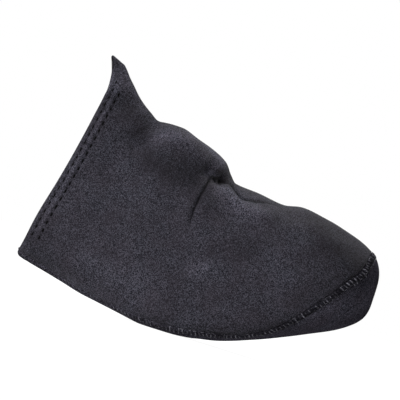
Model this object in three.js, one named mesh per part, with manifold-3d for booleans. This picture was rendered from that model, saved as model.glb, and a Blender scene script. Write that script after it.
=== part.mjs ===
// Cycling toe cover: a short neoprene sock that is pulled over the front of a cycling shoe.
// It is sewn from an upper and a sole panel, joined by a raised overlock seam that runs low along
// both sides and climbs over the toe. The collar at the back is turned in as a hem, and its top is
// pinched into a pointed ear. The sole panel has an opening for the pedal cleat.
// Millimetres. +X points to the toe, +Y to the wearer's left, +Z up, with the sole resting on Z = 0.

import * as THREE from 'three';
import { mergeVertices } from 'three/addons/utils/BufferGeometryUtils.js';
import Module from 'manifold-3d';

// Driving dimensions of the whole cover
const LENGTH = 201; // hem to toe tip
const INSTEP_HEIGHT = 113; // top of the instep hump over the sole's lowest line
const BALL_WIDTH = 94;
const ARCH_RISE = 17; // how far the underside has risen at the hem
const TOE_RISE = 34.3; // how far the underside has risen where the toe starts to round off
const COLLAR_LEAN = 12; // degrees by which the collar leans towards the toe
const REST_DEPTH = 1; // how deep the underside is pressed flat where it rests

// Cloth and sewing
const WALL = 3; // neoprene
const SEAM_WIDTH = 4.6; // overlock seam, across its threads
const SEAM_RISE = 0.5; // how far the seam stands out of the cloth
const GAP = 0.4; // clearance between neighbouring pieces, along the cloth
const HEM_DEPTH = 9.5; // how far the collar's edge is turned in
const HEM_WALL = 2.4; // turned-in layer, pressed by its stitching
const HEM_SWELL = 0.7; // how far the doubled cloth swells the outside
const HEM_SWELL_LENGTH = 12;
const EAR_CURL = 7.2; // how far the ear's tip bends back behind the collar
const EAR_HEIGHT = 17; // how much of its top bends
const EAR_LENGTH = 14; // how far from the edge the bend fades out
const EAR_BEND = 1.4; // more is a sharper bend nearer the tip

// Cleat opening
const CLEAT_LENGTH = 58;
const CLEAT_WIDTH = 44;
const CLEAT_CORNER = 18;
const CLEAT_AT = 0.59; // its middle, as a share of LENGTH from the hem

// Underside: shares of LENGTH from the hem
const REST_AT = { back: 0.42, front: 0.515 };
const ARCH_POWER = 1.15;
const TOE_POWER = 1.33;
const TOE_SHARE = 0.96; // where TOE_RISE is measured

// Rounding of the toe: where it starts and how square it is
const TOE_PLAN = { start: 0.7, power: 2.3 };
const TOE_SIDE = { start: 0.9, power: 3 };

// A row for each section. at: share of LENGTH from the hem, along the underside.
// ridge: height of the top line, as a share of INSTEP_HEIGHT. half: half width, as a share of half
// BALL_WIDTH. waist: level of the widest place, as a share of the section's height.
// crown and base: how full the section is over and under that level (1 is a straight-sided tent,
// 2 an ellipse, and more is squarer).
const SECTIONS = [
  { at: 0.0, ridge: 1.222, half: 0.66, waist: 0.3, crown: 1.22, base: 2.6 }, // ear
  { at: 0.05, ridge: 1.15, half: 0.675, waist: 0.3, crown: 1.28, base: 2.6 },
  { at: 0.096, ridge: 1.083, half: 0.7, waist: 0.3, crown: 1.38, base: 2.7 },
  { at: 0.145, ridge: 1.031, half: 0.73, waist: 0.3, crown: 1.55, base: 2.9 },
  { at: 0.185, ridge: 0.998, half: 0.765, waist: 0.3, crown: 1.75, base: 3.1 }, // valley
  { at: 0.255, ridge: 1.003, half: 0.82, waist: 0.29, crown: 2.05, base: 3.6 }, // instep hump
  { at: 0.315, ridge: 0.976, half: 0.86, waist: 0.28, crown: 2.1, base: 4.2 },
  { at: 0.376, ridge: 0.945, half: 0.9, waist: 0.27, crown: 2.1, base: 4.8 },
  { at: 0.427, ridge: 0.905, half: 0.935, waist: 0.27, crown: 2.15, base: 5.0 }, // hump's end
  { at: 0.457, ridge: 0.854, half: 0.955, waist: 0.27, crown: 2.2, base: 5.0 },
  { at: 0.482, ridge: 0.818, half: 0.97, waist: 0.28, crown: 2.25, base: 5.0 }, // dip
  { at: 0.56, ridge: 0.806, half: 1.0, waist: 0.29, crown: 2.25, base: 5.0 }, // ball
  { at: 0.65, ridge: 0.79, half: 1.0, waist: 0.32, crown: 2.25, base: 4.8 },
  { at: 0.71, ridge: 0.804, half: 0.985, waist: 0.34, crown: 2.25, base: 4.4 }, // toe box
  { at: 0.8, ridge: 0.783, half: 0.95, waist: 0.38, crown: 2.3, base: 3.5 },
  { at: 0.9, ridge: 0.74, half: 0.9, waist: 0.42, crown: 2.35, base: 3.0 },
  { at: 1.0, ridge: 0.695, half: 0.86, waist: 0.46, crown: 2.4, base: 2.6 }, // toe tip
];

// The seam's middle line, from the hem to the top of the toe. angle: degrees round the section,
// from 0 at the middle of the underside to 180 on the ridge.
const SEAM = [
  { at: 0.0, angle: 24 },
  { at: 0.1, angle: 26 },
  { at: 0.2, angle: 30 },
  { at: 0.3, angle: 37 },
  { at: 0.4, angle: 44 },
  { at: 0.5, angle: 47 },
  { at: 0.59, angle: 46 },
  { at: 0.66, angle: 44 },
  { at: 0.72, angle: 44.5 },
  { at: 0.765, angle: 49 },
  { at: 0.81, angle: 58 },
  { at: 0.85, angle: 70.5 },
  { at: 0.887, angle: 85 },
  { at: 0.918, angle: 98.5 },
  { at: 0.944, angle: 112.5 },
  { at: 0.9605, angle: 138 },
  { at: 0.966, angle: 180 },
];
const SEAM_CORNER = 12; // the row where the upper's side edge becomes its front edge

// Fineness of the meshes. The pieces along the seam share its steps, so that their edges stay parallel.
const SIDE_STEPS = 36; // from the hem to the corner
const FRONT_STEPS = 12; // from the corner to the top of the toe
const ROW_BEND = 8; // how soon the upper's rows straighten behind its front edge
const SOLE_COLUMNS = 14;
const NOSE_ROWS = 5;
const HEM_STEPS = 2;
const CLEAT_ARC_STEPS = 6;
const WELD = 1e-4; // corners nearer than this are one

const COLOURS = { jersey: 0x35343a, sole: 0x2f2e34, thread: 0x232228 };

const clamp = (value, low, high) => Math.min(Math.max(value, low), high);
const range = (count) => Array.from({ length: count + 1 }, (_, i) => i / count);

// Monotone cubic through values y at places x, so that nothing overshoots between two of them.
function smooth(x, y, flatEnd = false) {
  const step = x.slice(1).map((value, i) => value - x[i]);
  const rise = step.map((value, i) => (y[i + 1] - y[i]) / value);
  const slope = y.map((_, i) => {
    if (i === 0) return rise[0];
    if (i === y.length - 1) return flatEnd ? 0 : rise[i - 1];
    if (rise[i - 1] * rise[i] <= 0) return 0;
    const before = 2 * step[i] + step[i - 1];
    const after = step[i] + 2 * step[i - 1];
    return (before + after) / (before / rise[i - 1] + after / rise[i]);
  });
  return (value) => {
    let i = 0;
    while (i < step.length - 1 && value > x[i + 1]) i += 1;
    const t = (value - x[i]) / step[i];
    const start = (1 + 2 * t) * y[i] + t * step[i] * slope[i];
    const end = (3 - 2 * t) * y[i + 1] + (t - 1) * step[i] * slope[i + 1];
    return (1 - t) ** 2 * start + t ** 2 * end;
  };
}

const sectionAt = SECTIONS.map((row) => row.at);
const column = (name) => smooth(sectionAt, SECTIONS.map((row) => row[name]));
const ridge = column('ridge');
const half = column('half');
const waist = column('waist');
const crown = column('crown');
const base = column('base');

// Height of the underside's middle line: arch behind, rest, and toe spring in front.
function underside(at) {
  const back = clamp((REST_AT.back - at) / REST_AT.back, 0, 1);
  const front = Math.max((at - REST_AT.front) / (TOE_SHARE - REST_AT.front), 0);
  return ARCH_RISE * back ** ARCH_POWER + TOE_RISE * front ** TOE_POWER;
}

// 1 where the section has its full size, falling to 0 at the toe's tip like a superellipse.
function rounding(at, { start, power }) {
  const share = clamp((at - start) / (1 - start), 0, 1);
  return (1 - share ** power) ** (1 / power);
}

// Distance from the centre of a unit superellipse in the direction of an angle.
function reach(angle, fullness) {
  const sum = Math.abs(Math.sin(angle)) ** fullness + Math.abs(Math.cos(angle)) ** fullness;
  return sum ** (-1 / fullness);
}

// A point of the cover's skin, moved in by inset: at is the section, and angle goes round it.
function skin(at, angle, inset = 0) {
  const lean = THREE.MathUtils.degToRad(COLLAR_LEAN * (1 - at));
  const low = underside(at);
  const height = (ridge(at) * INSTEP_HEIGHT + REST_DEPTH - low) / Math.cos(lean);
  const level = waist(at) * height;
  const swell = HEM_SWELL * clamp(1 - (at * LENGTH) / HEM_SWELL_LENGTH, 0, 1) ** 2;
  const depth = inset - swell;
  // On a tent-like crown both flanks move in by depth, so that its apex comes down further.
  const wide = half(at) * (BALL_WIDTH / 2);
  const tall = height - level;
  const tent = clamp(2 - crown(at), 0, 1);
  const widthInset = depth * (1 + tent * (Math.hypot(1, wide / tall) - 1));
  const crownInset = depth * (1 + tent * (Math.hypot(1, tall / wide) - 1));
  const plan = rounding(at, TOE_PLAN);
  const side = rounding(at, TOE_SIDE);
  const above = Math.cos(angle) < 0;
  const far = reach(angle, above ? crown(at) : base(at));
  const span = above ? tall - crownInset : level - depth;
  const across = plan * (wide - widthInset) * far * Math.sin(angle);
  const up = level - side * span * far * Math.cos(angle);
  // The inner skin ends short of the toe's tip by the wall's thickness.
  const nose = clamp((at - TOE_PLAN.start) / (1 - TOE_PLAN.start), 0, 1) ** 3;
  const z = low + up * Math.cos(lean) - REST_DEPTH;
  const earFoot = ridge(0) * INSTEP_HEIGHT - EAR_HEIGHT;
  const overEar = clamp((z - earFoot) / EAR_HEIGHT, 0, 1);
  const nearEdge = clamp(1 - (at * LENGTH) / EAR_LENGTH, 0, 1);
  const curl = EAR_CURL * overEar ** EAR_BEND * nearEdge ** 2;
  const x = LENGTH * at + up * Math.sin(lean) - inset * nose - curl;
  return new THREE.Vector3(x, across, Math.max(z, inset, 0));
}

const seamRow = SEAM.map((row, i) => i);
const seamAt = smooth(seamRow, SEAM.map((row) => row.at), true);
const seamAngle = smooth(seamRow, SEAM.map((row) => row.angle));

// The seam's line, moved sideways over the skin: away from the ridge where aside is negative.
// along goes from 0 at the hem to 1 on top of the toe.
function seamLine(along, aside) {
  const row = along * (SEAM.length - 1);
  const place = (value) => ({ at: seamAt(value), angle: THREE.MathUtils.degToRad(seamAngle(value)) });
  const { at, angle } = place(row);
  if (aside === 0) return { at, angle };
  const small = 1e-3;
  const before = place(Math.max(row - small, 0));
  const after = place(Math.min(row + small, SEAM.length - 1));
  const run = { at: after.at - before.at, angle: after.angle - before.angle };
  // Lengths on the skin of a unit step in each of its two directions
  const perAt = skin(at + small, angle).distanceTo(skin(at - small, angle)) / (2 * small);
  const perAngle = skin(at, angle + small).distanceTo(skin(at, angle - small)) / (2 * small);
  const length = Math.hypot(run.at * perAt, run.angle * perAngle);
  // Its two ends stay on the hem and on the ridge.
  return {
    at: along === 0 ? at : at - (aside * run.angle * perAngle) / (length * perAt),
    angle: along === 1 ? angle : angle + (aside * run.at * perAt) / (length * perAngle),
  };
}

const SEAM_EDGE = SEAM_WIDTH / 2 + GAP;
const CORNER = SEAM_CORNER / (SEAM.length - 1);
const SIDE = range(SIDE_STEPS).map((share) => share * CORNER);
const FRONT = range(FRONT_STEPS).map((share) => CORNER + share * (1 - CORNER));
const ALONG = [...SIDE, ...FRONT.slice(1)];

// Rows of the upper, from the hem to its front edge, each from one side over the ridge to the other.
function upperRows() {
  const corner = seamLine(CORNER, SEAM_EDGE);
  return SIDE.map((along) => {
    const side = seamLine(along, SEAM_EDGE);
    const spread = (Math.PI - side.angle) / (Math.PI - corner.angle);
    const bend = (side.at / corner.at) ** ROW_BEND;
    const left = FRONT.map((share) => {
      const front = seamLine(share, SEAM_EDGE);
      const angle = Math.PI - (Math.PI - front.angle) * spread;
      return { at: side.at + (front.at - corner.at) * bend, angle };
    });
    const right = left.slice(0, -1).map(({ at, angle }) => ({ at, angle: -angle }));
    return [...right, ...left.reverse()];
  });
}

// Rows of the sole panel: under the foot from seam to seam, and then rings that close the toe.
function soleRows() {
  const row = (at, angle) => range(SOLE_COLUMNS).map((share) => ({ at, angle: (1 - 2 * share) * angle }));
  const sewn = ALONG.map((along) => {
    const edge = seamLine(along, -SEAM_EDGE);
    return row(edge.at, edge.angle);
  });
  const last = sewn.at(-1)[0].at;
  const rings = range(NOSE_ROWS)
    .slice(1)
    .map((share) => row(last + (1 - last) * Math.sin((share * Math.PI) / 2), Math.PI));
  return [...sewn, ...rings];
}

// Rows across the seam, from the hem on one side round the toe to the hem on the other.
function seamRows() {
  const left = ALONG.map((along) => [1, 0, -1].map((edge) => seamLine(along, (edge * SEAM_WIDTH) / 2)));
  const mirror = ({ at, angle }) => ({ at, angle: 2 * Math.PI - angle });
  const right = left.slice(0, -1).map((row) => row.map(mirror));
  return [...left, ...right.reverse()];
}

// Rows round the collar, from its edge to the end of the turned-in layer, with the upper's and the
// sole's own columns, so that the layers stay parallel.
function hemRows() {
  const angles = [...upperRows()[0], ...soleRows()[0]].map(({ angle }) => angle);
  angles.sort((a, b) => b - a);
  return range(HEM_STEPS).map((share) => {
    const at = (share * HEM_DEPTH) / LENGTH;
    return [...angles, -Math.PI].map((angle) => ({ at, angle }));
  });
}

// One closed solid from rows of places on the skin: an outer and an inner face, and a rim along
// every free edge. Places that fall together, as at the toe's tip, become one corner.
function shell(rows, outerInset, innerInset) {
  const outer = rows.flat().map(({ at, angle }) => skin(at, angle, outerInset));
  const inner = rows.flat().map(({ at, angle }) => skin(at, angle, innerInset));
  const key = (p) => p.toArray().map((value) => Math.round(value / (10 * WELD))).join();
  const first = new Map();
  outer.forEach((p, i) => first.has(key(p)) || first.set(key(p), i));
  const corner = outer.map((p) => first.get(key(p)));
  const width = rows[0].length;
  const faces = [];
  for (let i = 0; i < rows.length - 1; i += 1) {
    for (let j = 0; j < width - 1; j += 1) {
      const a = corner[i * width + j];
      const b = corner[(i + 1) * width + j];
      const c = corner[(i + 1) * width + j + 1];
      const d = corner[i * width + j + 1];
      const even = outer[a].distanceTo(outer[c]) < outer[b].distanceTo(outer[d]);
      faces.push(...(even ? [[a, b, c], [a, c, d]] : [[a, b, d], [b, c, d]]));
    }
  }
  const solid = faces.filter(([a, b, c]) => a !== b && b !== c && c !== a);
  const edges = new Map();
  for (const [a, b, c] of solid) {
    for (const [from, to] of [[a, b], [b, c], [c, a]]) edges.set(`${from},${to}`, [from, to]);
  }
  const shift = outer.length;
  const index = [];
  for (const [a, b, c] of solid) index.push(a, b, c, a + shift, c + shift, b + shift);
  for (const [from, to] of edges.values()) {
    if (edges.has(`${to},${from}`)) continue;
    index.push(to, from, from + shift, to, from + shift, to + shift);
  }
  return indexed([...outer, ...inner], index);
}

function indexed(points, index) {
  const geometry = new THREE.BufferGeometry().setFromPoints(points);
  geometry.setIndex(index);
  return mergeVertices(geometry, WELD);
}

// Outline of the cleat opening, standing through the sole.
function cleatTool() {
  const x = CLEAT_LENGTH / 2;
  const y = CLEAT_WIDTH / 2;
  const r = CLEAT_CORNER;
  const shape = new THREE.Shape();
  shape.moveTo(-x + r, -y);
  shape.lineTo(x - r, -y);
  shape.absarc(x - r, -y + r, r, -Math.PI / 2, 0);
  shape.lineTo(x, y - r);
  shape.absarc(x - r, y - r, r, 0, Math.PI / 2);
  shape.lineTo(-x + r, y);
  shape.absarc(-x + r, y - r, r, Math.PI / 2, Math.PI);
  shape.lineTo(-x, -y + r);
  shape.absarc(-x + r, -y + r, r, Math.PI, 1.5 * Math.PI);
  const depth = TOE_RISE + 2 * WALL;
  const settings = { depth, bevelEnabled: false, curveSegments: CLEAT_ARC_STEPS };
  const tool = new THREE.ExtrudeGeometry(shape, settings);
  tool.translate(CLEAT_AT * LENGTH, 0, -WALL);
  return tool;
}

const wasm = await Module();
wasm.setup();

function toManifold(source) {
  const geometry = source.clone();
  geometry.deleteAttribute('normal');
  geometry.deleteAttribute('uv');
  const merged = mergeVertices(geometry, WELD);
  const vertProperties = new Float32Array(merged.attributes.position.array);
  const triVerts = new Uint32Array(merged.index.array);
  return new wasm.Manifold(new wasm.Mesh({ numProp: 3, vertProperties, triVerts }));
}

function toGeometry(manifold) {
  const mesh = manifold.getMesh();
  const geometry = new THREE.BufferGeometry();
  geometry.setAttribute('position', new THREE.BufferAttribute(mesh.vertProperties, 3));
  geometry.setIndex(new THREE.BufferAttribute(mesh.triVerts, 1));
  return geometry;
}

function piece(name, geometry, color, roughness) {
  geometry.computeVertexNormals();
  const material = new THREE.MeshStandardMaterial({ color, roughness, metalness: 0 });
  const mesh = new THREE.Mesh(geometry, material);
  mesh.name = name;
  return mesh;
}

const upper = piece('upper', shell(upperRows(), 0, WALL), COLOURS.jersey, 0.9);
const soleSheet = shell(soleRows(), 0, WALL);
const soleCut = toManifold(soleSheet).subtract(toManifold(cleatTool()));
const solePanel = piece('sole_panel', toGeometry(soleCut), COLOURS.sole, 0.85);
const overlockSeam = piece('overlock_seam', shell(seamRows(), -SEAM_RISE, WALL), COLOURS.thread, 0.7);
const hemOutside = WALL + GAP;
const hemSheet = shell(hemRows(), hemOutside, hemOutside + HEM_WALL);
const collarHem = piece('collar_hem', hemSheet, COLOURS.jersey, 0.9);

// The origin is under the middle of the cover, on the floor.
const cover = new THREE.Group();
cover.add(upper, solePanel, overlockSeam, collarHem);
const bounds = new THREE.Box3().setFromObject(cover);
cover.position.x = -(bounds.min.x + bounds.max.x) / 2;
cover.updateMatrixWorld(true);

export default cover;
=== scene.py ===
# %% [markdown]
# # A cycling toe cover
# The real thing is a short black sock of 3 mm neoprene, pulled over the front of a cycling shoe to
# keep wind and water out. It is sewn from an upper and a sole panel. This lesson dresses its packed
# solids in Blender: the same skin is worked out again on finer grids, with the folds of soft cloth,
# the rolled hem, the stitches and the overlock threads, and each cloth gets a material of its own.

# %% Load the frame
import math

import bpy
import numpy as np
from mathutils import Matrix, Vector


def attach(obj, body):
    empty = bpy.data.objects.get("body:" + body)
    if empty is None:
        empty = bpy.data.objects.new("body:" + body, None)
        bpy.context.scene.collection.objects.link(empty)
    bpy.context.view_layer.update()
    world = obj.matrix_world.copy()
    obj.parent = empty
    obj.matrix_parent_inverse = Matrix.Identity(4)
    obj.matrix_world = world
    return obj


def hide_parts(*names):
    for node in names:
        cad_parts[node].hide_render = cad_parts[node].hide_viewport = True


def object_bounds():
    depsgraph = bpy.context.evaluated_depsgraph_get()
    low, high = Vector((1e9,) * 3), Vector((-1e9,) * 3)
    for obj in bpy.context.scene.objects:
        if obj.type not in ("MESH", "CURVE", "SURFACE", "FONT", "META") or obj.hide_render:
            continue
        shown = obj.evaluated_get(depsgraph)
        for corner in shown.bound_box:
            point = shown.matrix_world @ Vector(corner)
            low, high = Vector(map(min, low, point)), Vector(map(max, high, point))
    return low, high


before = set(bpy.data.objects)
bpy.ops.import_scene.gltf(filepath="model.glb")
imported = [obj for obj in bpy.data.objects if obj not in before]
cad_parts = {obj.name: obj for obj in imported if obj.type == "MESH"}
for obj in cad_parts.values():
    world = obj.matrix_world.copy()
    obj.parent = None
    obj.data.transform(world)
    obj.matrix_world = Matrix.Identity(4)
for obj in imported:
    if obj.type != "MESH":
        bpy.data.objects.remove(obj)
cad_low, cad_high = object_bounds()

print("nodes of the frame:", sorted(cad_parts))

# %% [markdown]
# ## The pattern's sizes
# A sewn shell could be sculpted by hand, but then it wouldn't stay on its solids. So the sizes below
# are the ones that the solids were made from, in millimetres, and every piece is worked out from them.

# %% Sizes in millimetres
MM = 0.001
LENGTH = 201.0  # hem to toe tip
INSTEP_HEIGHT = 113.0  # top of the instep hump
BALL_WIDTH = 94.0
ARCH_RISE = 17.0  # how far the underside has risen at the hem
TOE_RISE = 34.3  # how far it has risen where the toe rounds off
COLLAR_LEAN = 12.0  # degrees
REST_DEPTH = 1.0  # how deep the underside is pressed flat
WALL = 3.0  # neoprene
SEAM_WIDTH = 4.6  # overlock seam, across its threads
SEAM_RISE = 0.5  # how far its ridge stands out of the cloth
GAP = 0.4  # clearance of the solids along the seam
HEM_DEPTH = 9.5  # turned-in layer
HEM_WALL = 2.4  # thickness of that layer
HEM_SWELL = 0.7  # how much fuller the cover is at its edge
HEM_SWELL_LENGTH = 12.0
EAR_CURL = 7.2  # how far the ear's tip curls back
EAR_HEIGHT = 17.0  # how far down from the tip the curl reaches
EAR_LENGTH = 14.0  # and how far from the hem
EAR_BEND = 1.4  # power of the curl's growth with height
REST_BACK = 0.42  # the flat spot's ends, as shares of the length
REST_FRONT = 0.515
ARCH_POWER = 1.15  # powers of the underside's rise behind and before it
TOE_POWER = 1.33
TOE_SHARE = 0.96  # share of the length where the toe's rise is full
PLAN_START = 0.7  # where the toe starts to round off, seen from above, and the power of that curve
PLAN_POWER = 2.3
SIDE_START = 0.9  # the same, seen from the side
SIDE_POWER = 3.0
CLEAT_LENGTH = 58.0
CLEAT_WIDTH = 44.0
CLEAT_CORNER = 18.0  # radius
CLEAT_AT = 0.59  # its middle, as a share of the length

# Share of the length, ridge height, half width, level of the widest place, fullness above and below
SECTIONS = np.array(
    [
        (0.0, 1.222, 0.66, 0.3, 1.22, 2.6),  # ear
        (0.05, 1.15, 0.675, 0.3, 1.28, 2.6),
        (0.096, 1.083, 0.7, 0.3, 1.38, 2.7),
        (0.145, 1.031, 0.73, 0.3, 1.55, 2.9),
        (0.185, 0.998, 0.765, 0.3, 1.75, 3.1),  # valley
        (0.255, 1.003, 0.82, 0.29, 2.05, 3.6),  # instep hump
        (0.315, 0.976, 0.86, 0.28, 2.1, 4.2),
        (0.376, 0.945, 0.9, 0.27, 2.1, 4.8),
        (0.427, 0.905, 0.935, 0.27, 2.15, 5.0),  # end of the hump
        (0.457, 0.854, 0.955, 0.27, 2.2, 5.0),
        (0.482, 0.818, 0.97, 0.28, 2.25, 5.0),  # dip
        (0.56, 0.806, 1.0, 0.29, 2.25, 5.0),  # ball
        (0.65, 0.79, 1.0, 0.32, 2.25, 4.8),
        (0.71, 0.804, 0.985, 0.34, 2.25, 4.4),  # toe box
        (0.8, 0.783, 0.95, 0.38, 2.3, 3.5),
        (0.9, 0.74, 0.9, 0.42, 2.35, 3.0),
        (1.0, 0.695, 0.86, 0.46, 2.4, 2.6),  # toe tip
    ]
)

# The seam's middle line: share of the length, and degrees round the section from the sole's middle
SEAM = np.array(
    [
        (0.0, 24.0),
        (0.1, 26.0),
        (0.2, 30.0),
        (0.3, 37.0),
        (0.4, 44.0),
        (0.5, 47.0),
        (0.59, 46.0),
        (0.66, 44.0),
        (0.72, 44.5),
        (0.765, 49.0),
        (0.81, 58.0),
        (0.85, 70.5),
        (0.887, 85.0),
        (0.918, 98.5),
        (0.944, 112.5),
        (0.9605, 138.0),
        (0.966, 180.0),
    ]
)
SEAM_CORNER = 12  # the row where the upper's side edge becomes its front edge
ROW_BEND = 8  # power by which the upper's rows take on the front edge's curve

# %% [markdown]
# ## The skin
# The cover is a last-shaped tube whose section changes from a pointed tent at the collar to a soft
# box at the ball. One function of two parameters gives it: the share of the length, and the angle
# round the section. Superellipses suit a last, because one power makes them tent, round or square.


# %% Curves through the named values
def smooth(places, values, flat_end=False):
    """Monotone cubic: at each place the slope is the harmonic mean of the two slopes beside it, or 0
    at a turn, and between two places a cubic keeps both values and both slopes."""
    step = np.diff(places)
    rise = np.diff(values) / step
    before = 2 * step[1:] + step[:-1]
    after = step[1:] + 2 * step[:-1]
    same_way = rise[:-1] * rise[1:] > 0
    low = np.where(same_way, rise[:-1], 1.0)
    high = np.where(same_way, rise[1:], 1.0)
    middle = np.where(same_way, (before + after) / (before / low + after / high), 0.0)
    slope = np.concatenate([rise[:1], middle, [0.0] if flat_end else rise[-1:]])

    def value(at):
        i = np.searchsorted(places[1:-1], at, side="left")
        t = (at - places[i]) / step[i]
        start = (1 + 2 * t) * values[i] + t * step[i] * slope[i]
        end = (3 - 2 * t) * values[i + 1] + (t - 1) * step[i] * slope[i + 1]
        return (1 - t) ** 2 * start + t**2 * end

    return value


ridge, half, waist, crown, base = (smooth(SECTIONS[:, 0], SECTIONS[:, i]) for i in range(1, 6))
seam_row = np.arange(len(SEAM), dtype=float)
seam_at = smooth(seam_row, SEAM[:, 0], flat_end=True)
seam_angle = smooth(seam_row, SEAM[:, 1])
SHIFT = cad_low.x / MM + HEM_SWELL * math.sin(math.radians(COLLAR_LEAN))
print(f"the hem's lowest point stands at x = {SHIFT:.2f} mm")


# %% The skin as a function of two parameters
def rounding(at, start, power):
    """1 behind start, then falling to 0 at the toe's tip: (1 - share^power)^(1/power)."""
    share = np.clip((at - start) / (1 - start), 0, 1)
    return (1 - share**power) ** (1 / power)


def skin(at, angle, inset=0.0):
    """Points in millimetres. From a level part way up the section, the point goes out by the half
    width and up or down by the height, both times the reach of a superellipse at that angle. Inset
    moves it into the cloth. The section leans towards the toe, and the ear's tip curls back."""
    at, angle, inset = np.broadcast_arrays(at * 1.0, angle * 1.0, inset)
    lean = np.radians(COLLAR_LEAN * (1 - at))
    back = np.clip((REST_BACK - at) / REST_BACK, 0, 1)
    front = np.maximum((at - REST_FRONT) / (TOE_SHARE - REST_FRONT), 0)
    low = ARCH_RISE * back**ARCH_POWER + TOE_RISE * front**TOE_POWER
    height = (ridge(at) * INSTEP_HEIGHT + REST_DEPTH - low) / np.cos(lean)
    level = waist(at) * height
    swell = HEM_SWELL * np.clip(1 - at * LENGTH / HEM_SWELL_LENGTH, 0, 1) ** 2
    depth = inset - swell
    wide = half(at) * BALL_WIDTH / 2
    tall = height - level
    tent = np.clip(2 - crown(at), 0, 1)
    width_inset = depth * (1 + tent * (np.hypot(1, wide / tall) - 1))
    crown_inset = depth * (1 + tent * (np.hypot(1, tall / wide) - 1))
    above = np.cos(angle) < 0
    fullness = np.where(above, crown(at), base(at))
    far = (np.abs(np.sin(angle)) ** fullness + np.abs(np.cos(angle)) ** fullness) ** (-1 / fullness)
    span = np.where(above, tall - crown_inset, level - depth)
    across = rounding(at, PLAN_START, PLAN_POWER) * (wide - width_inset) * far * np.sin(angle)
    up = level - rounding(at, SIDE_START, SIDE_POWER) * span * far * np.cos(angle)
    nose = np.clip((at - PLAN_START) / (1 - PLAN_START), 0, 1) ** 3
    z = low + up * np.cos(lean) - REST_DEPTH
    over_ear = np.clip((z - ridge(0.0) * INSTEP_HEIGHT + EAR_HEIGHT) / EAR_HEIGHT, 0, 1)
    near_edge = np.clip(1 - at * LENGTH / EAR_LENGTH, 0, 1)
    curl = EAR_CURL * over_ear**EAR_BEND * near_edge**2
    x = LENGTH * at + up * np.sin(lean) - inset * nose - curl + SHIFT
    return np.stack([x, across, np.maximum(z, np.maximum(inset, 0))], axis=-1)


def unit(vectors):
    """The same directions at length 1: v / |v|."""
    return vectors / np.maximum(np.linalg.norm(vectors, axis=-1, keepdims=True), 1e-9)


def outward(at, angle):
    """Unit normal: the cross product of the skin's two directions, round the section and along it."""
    small = 2e-3
    at = np.clip(at, 0, 0.9985)
    along = skin(np.minimum(at + small, 1), angle) - skin(np.maximum(at - small, 0), angle)
    around = skin(at, angle + small) - skin(at, angle - small)
    return unit(np.cross(around, along))


tip = skin(1.0, 0.0)
print(f"toe tip at x = {tip[0]:.1f} mm, z = {tip[2]:.1f} mm")
print(f"the solids end at x = {cad_high.x / MM:.1f} mm")


# %% The seam's line on the skin
def seam_line(along, aside):
    """Place on the skin of a point beside the seam: a step along the skin, square to the seam's run,
    of aside millimetres, towards the upper where aside is positive and towards the sole where it is
    negative. along is 0 at the hem and 1 on top of the toe."""
    along, aside = np.broadcast_arrays(along * 1.0, aside * 1.0)
    row = along * (len(SEAM) - 1)
    small = 1e-3
    before = np.maximum(row - small, 0)
    after = np.minimum(row + small, len(SEAM) - 1)
    run_at = seam_at(after) - seam_at(before)
    run_angle = np.radians(seam_angle(after) - seam_angle(before))
    at = seam_at(row)
    angle = np.radians(seam_angle(row))
    per_at = np.linalg.norm(skin(at + small, angle) - skin(at - small, angle), axis=-1) / (2 * small)
    per_angle = np.linalg.norm(skin(at, angle + small) - skin(at, angle - small), axis=-1) / (2 * small)
    length = np.maximum(np.hypot(run_at * per_at, run_angle * per_angle), 1e-12)
    side_at = np.where(along == 0, at, at - aside * run_angle * per_angle / (length * per_at))
    side_angle = np.where(along == 1, angle, angle + aside * run_at * per_at / (length * per_angle))
    return side_at, side_angle


print(f"the seam's top lies at x = {skin(*seam_line(1.0, 0.0))[0]:.1f} mm")


# %% [markdown]
# ## Folds
# An empty neoprene cover keeps the folds of the shoe it was on: a crease where the instep meets the
# ball, a hollow under the hump, a valley behind the ear. They could come from a cloth simulation, but
# these few are known from the photo, so each is a line drawn on the side view, with a width
# and a depth. Both sides get them, the far side a little changed, because a foot bends the cover
# across its whole width.

# %% Fold lines
# The longest lines, as points (x, z) in millimetres. The painted light and shade follows three of them
# too.
INSTEP_CREASE = ((-7.0, 98.0), (-8.0, 92.0), (-9.5, 84.6), (-11.1, 76.0), (-11.7, 68.0), (-11.3, 54.0))
BALL_CREASE = ((-2.8, 94.1), (2.6, 92.2), (8.0, 88.5), (13.1, 85.4), (18.4, 85.9))
EAR_FOLD = ((-66.0, 94.0), (-60.0, 100.5), (-54.0, 106.0), (-48.5, 110.0))
SHOULDER = ((-52.0, 101.0), (-46.2, 106.5), (-38.0, 109.0), (-26.5, 106.5), (-16.0, 102.5), (-8.0, 98.0))

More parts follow.
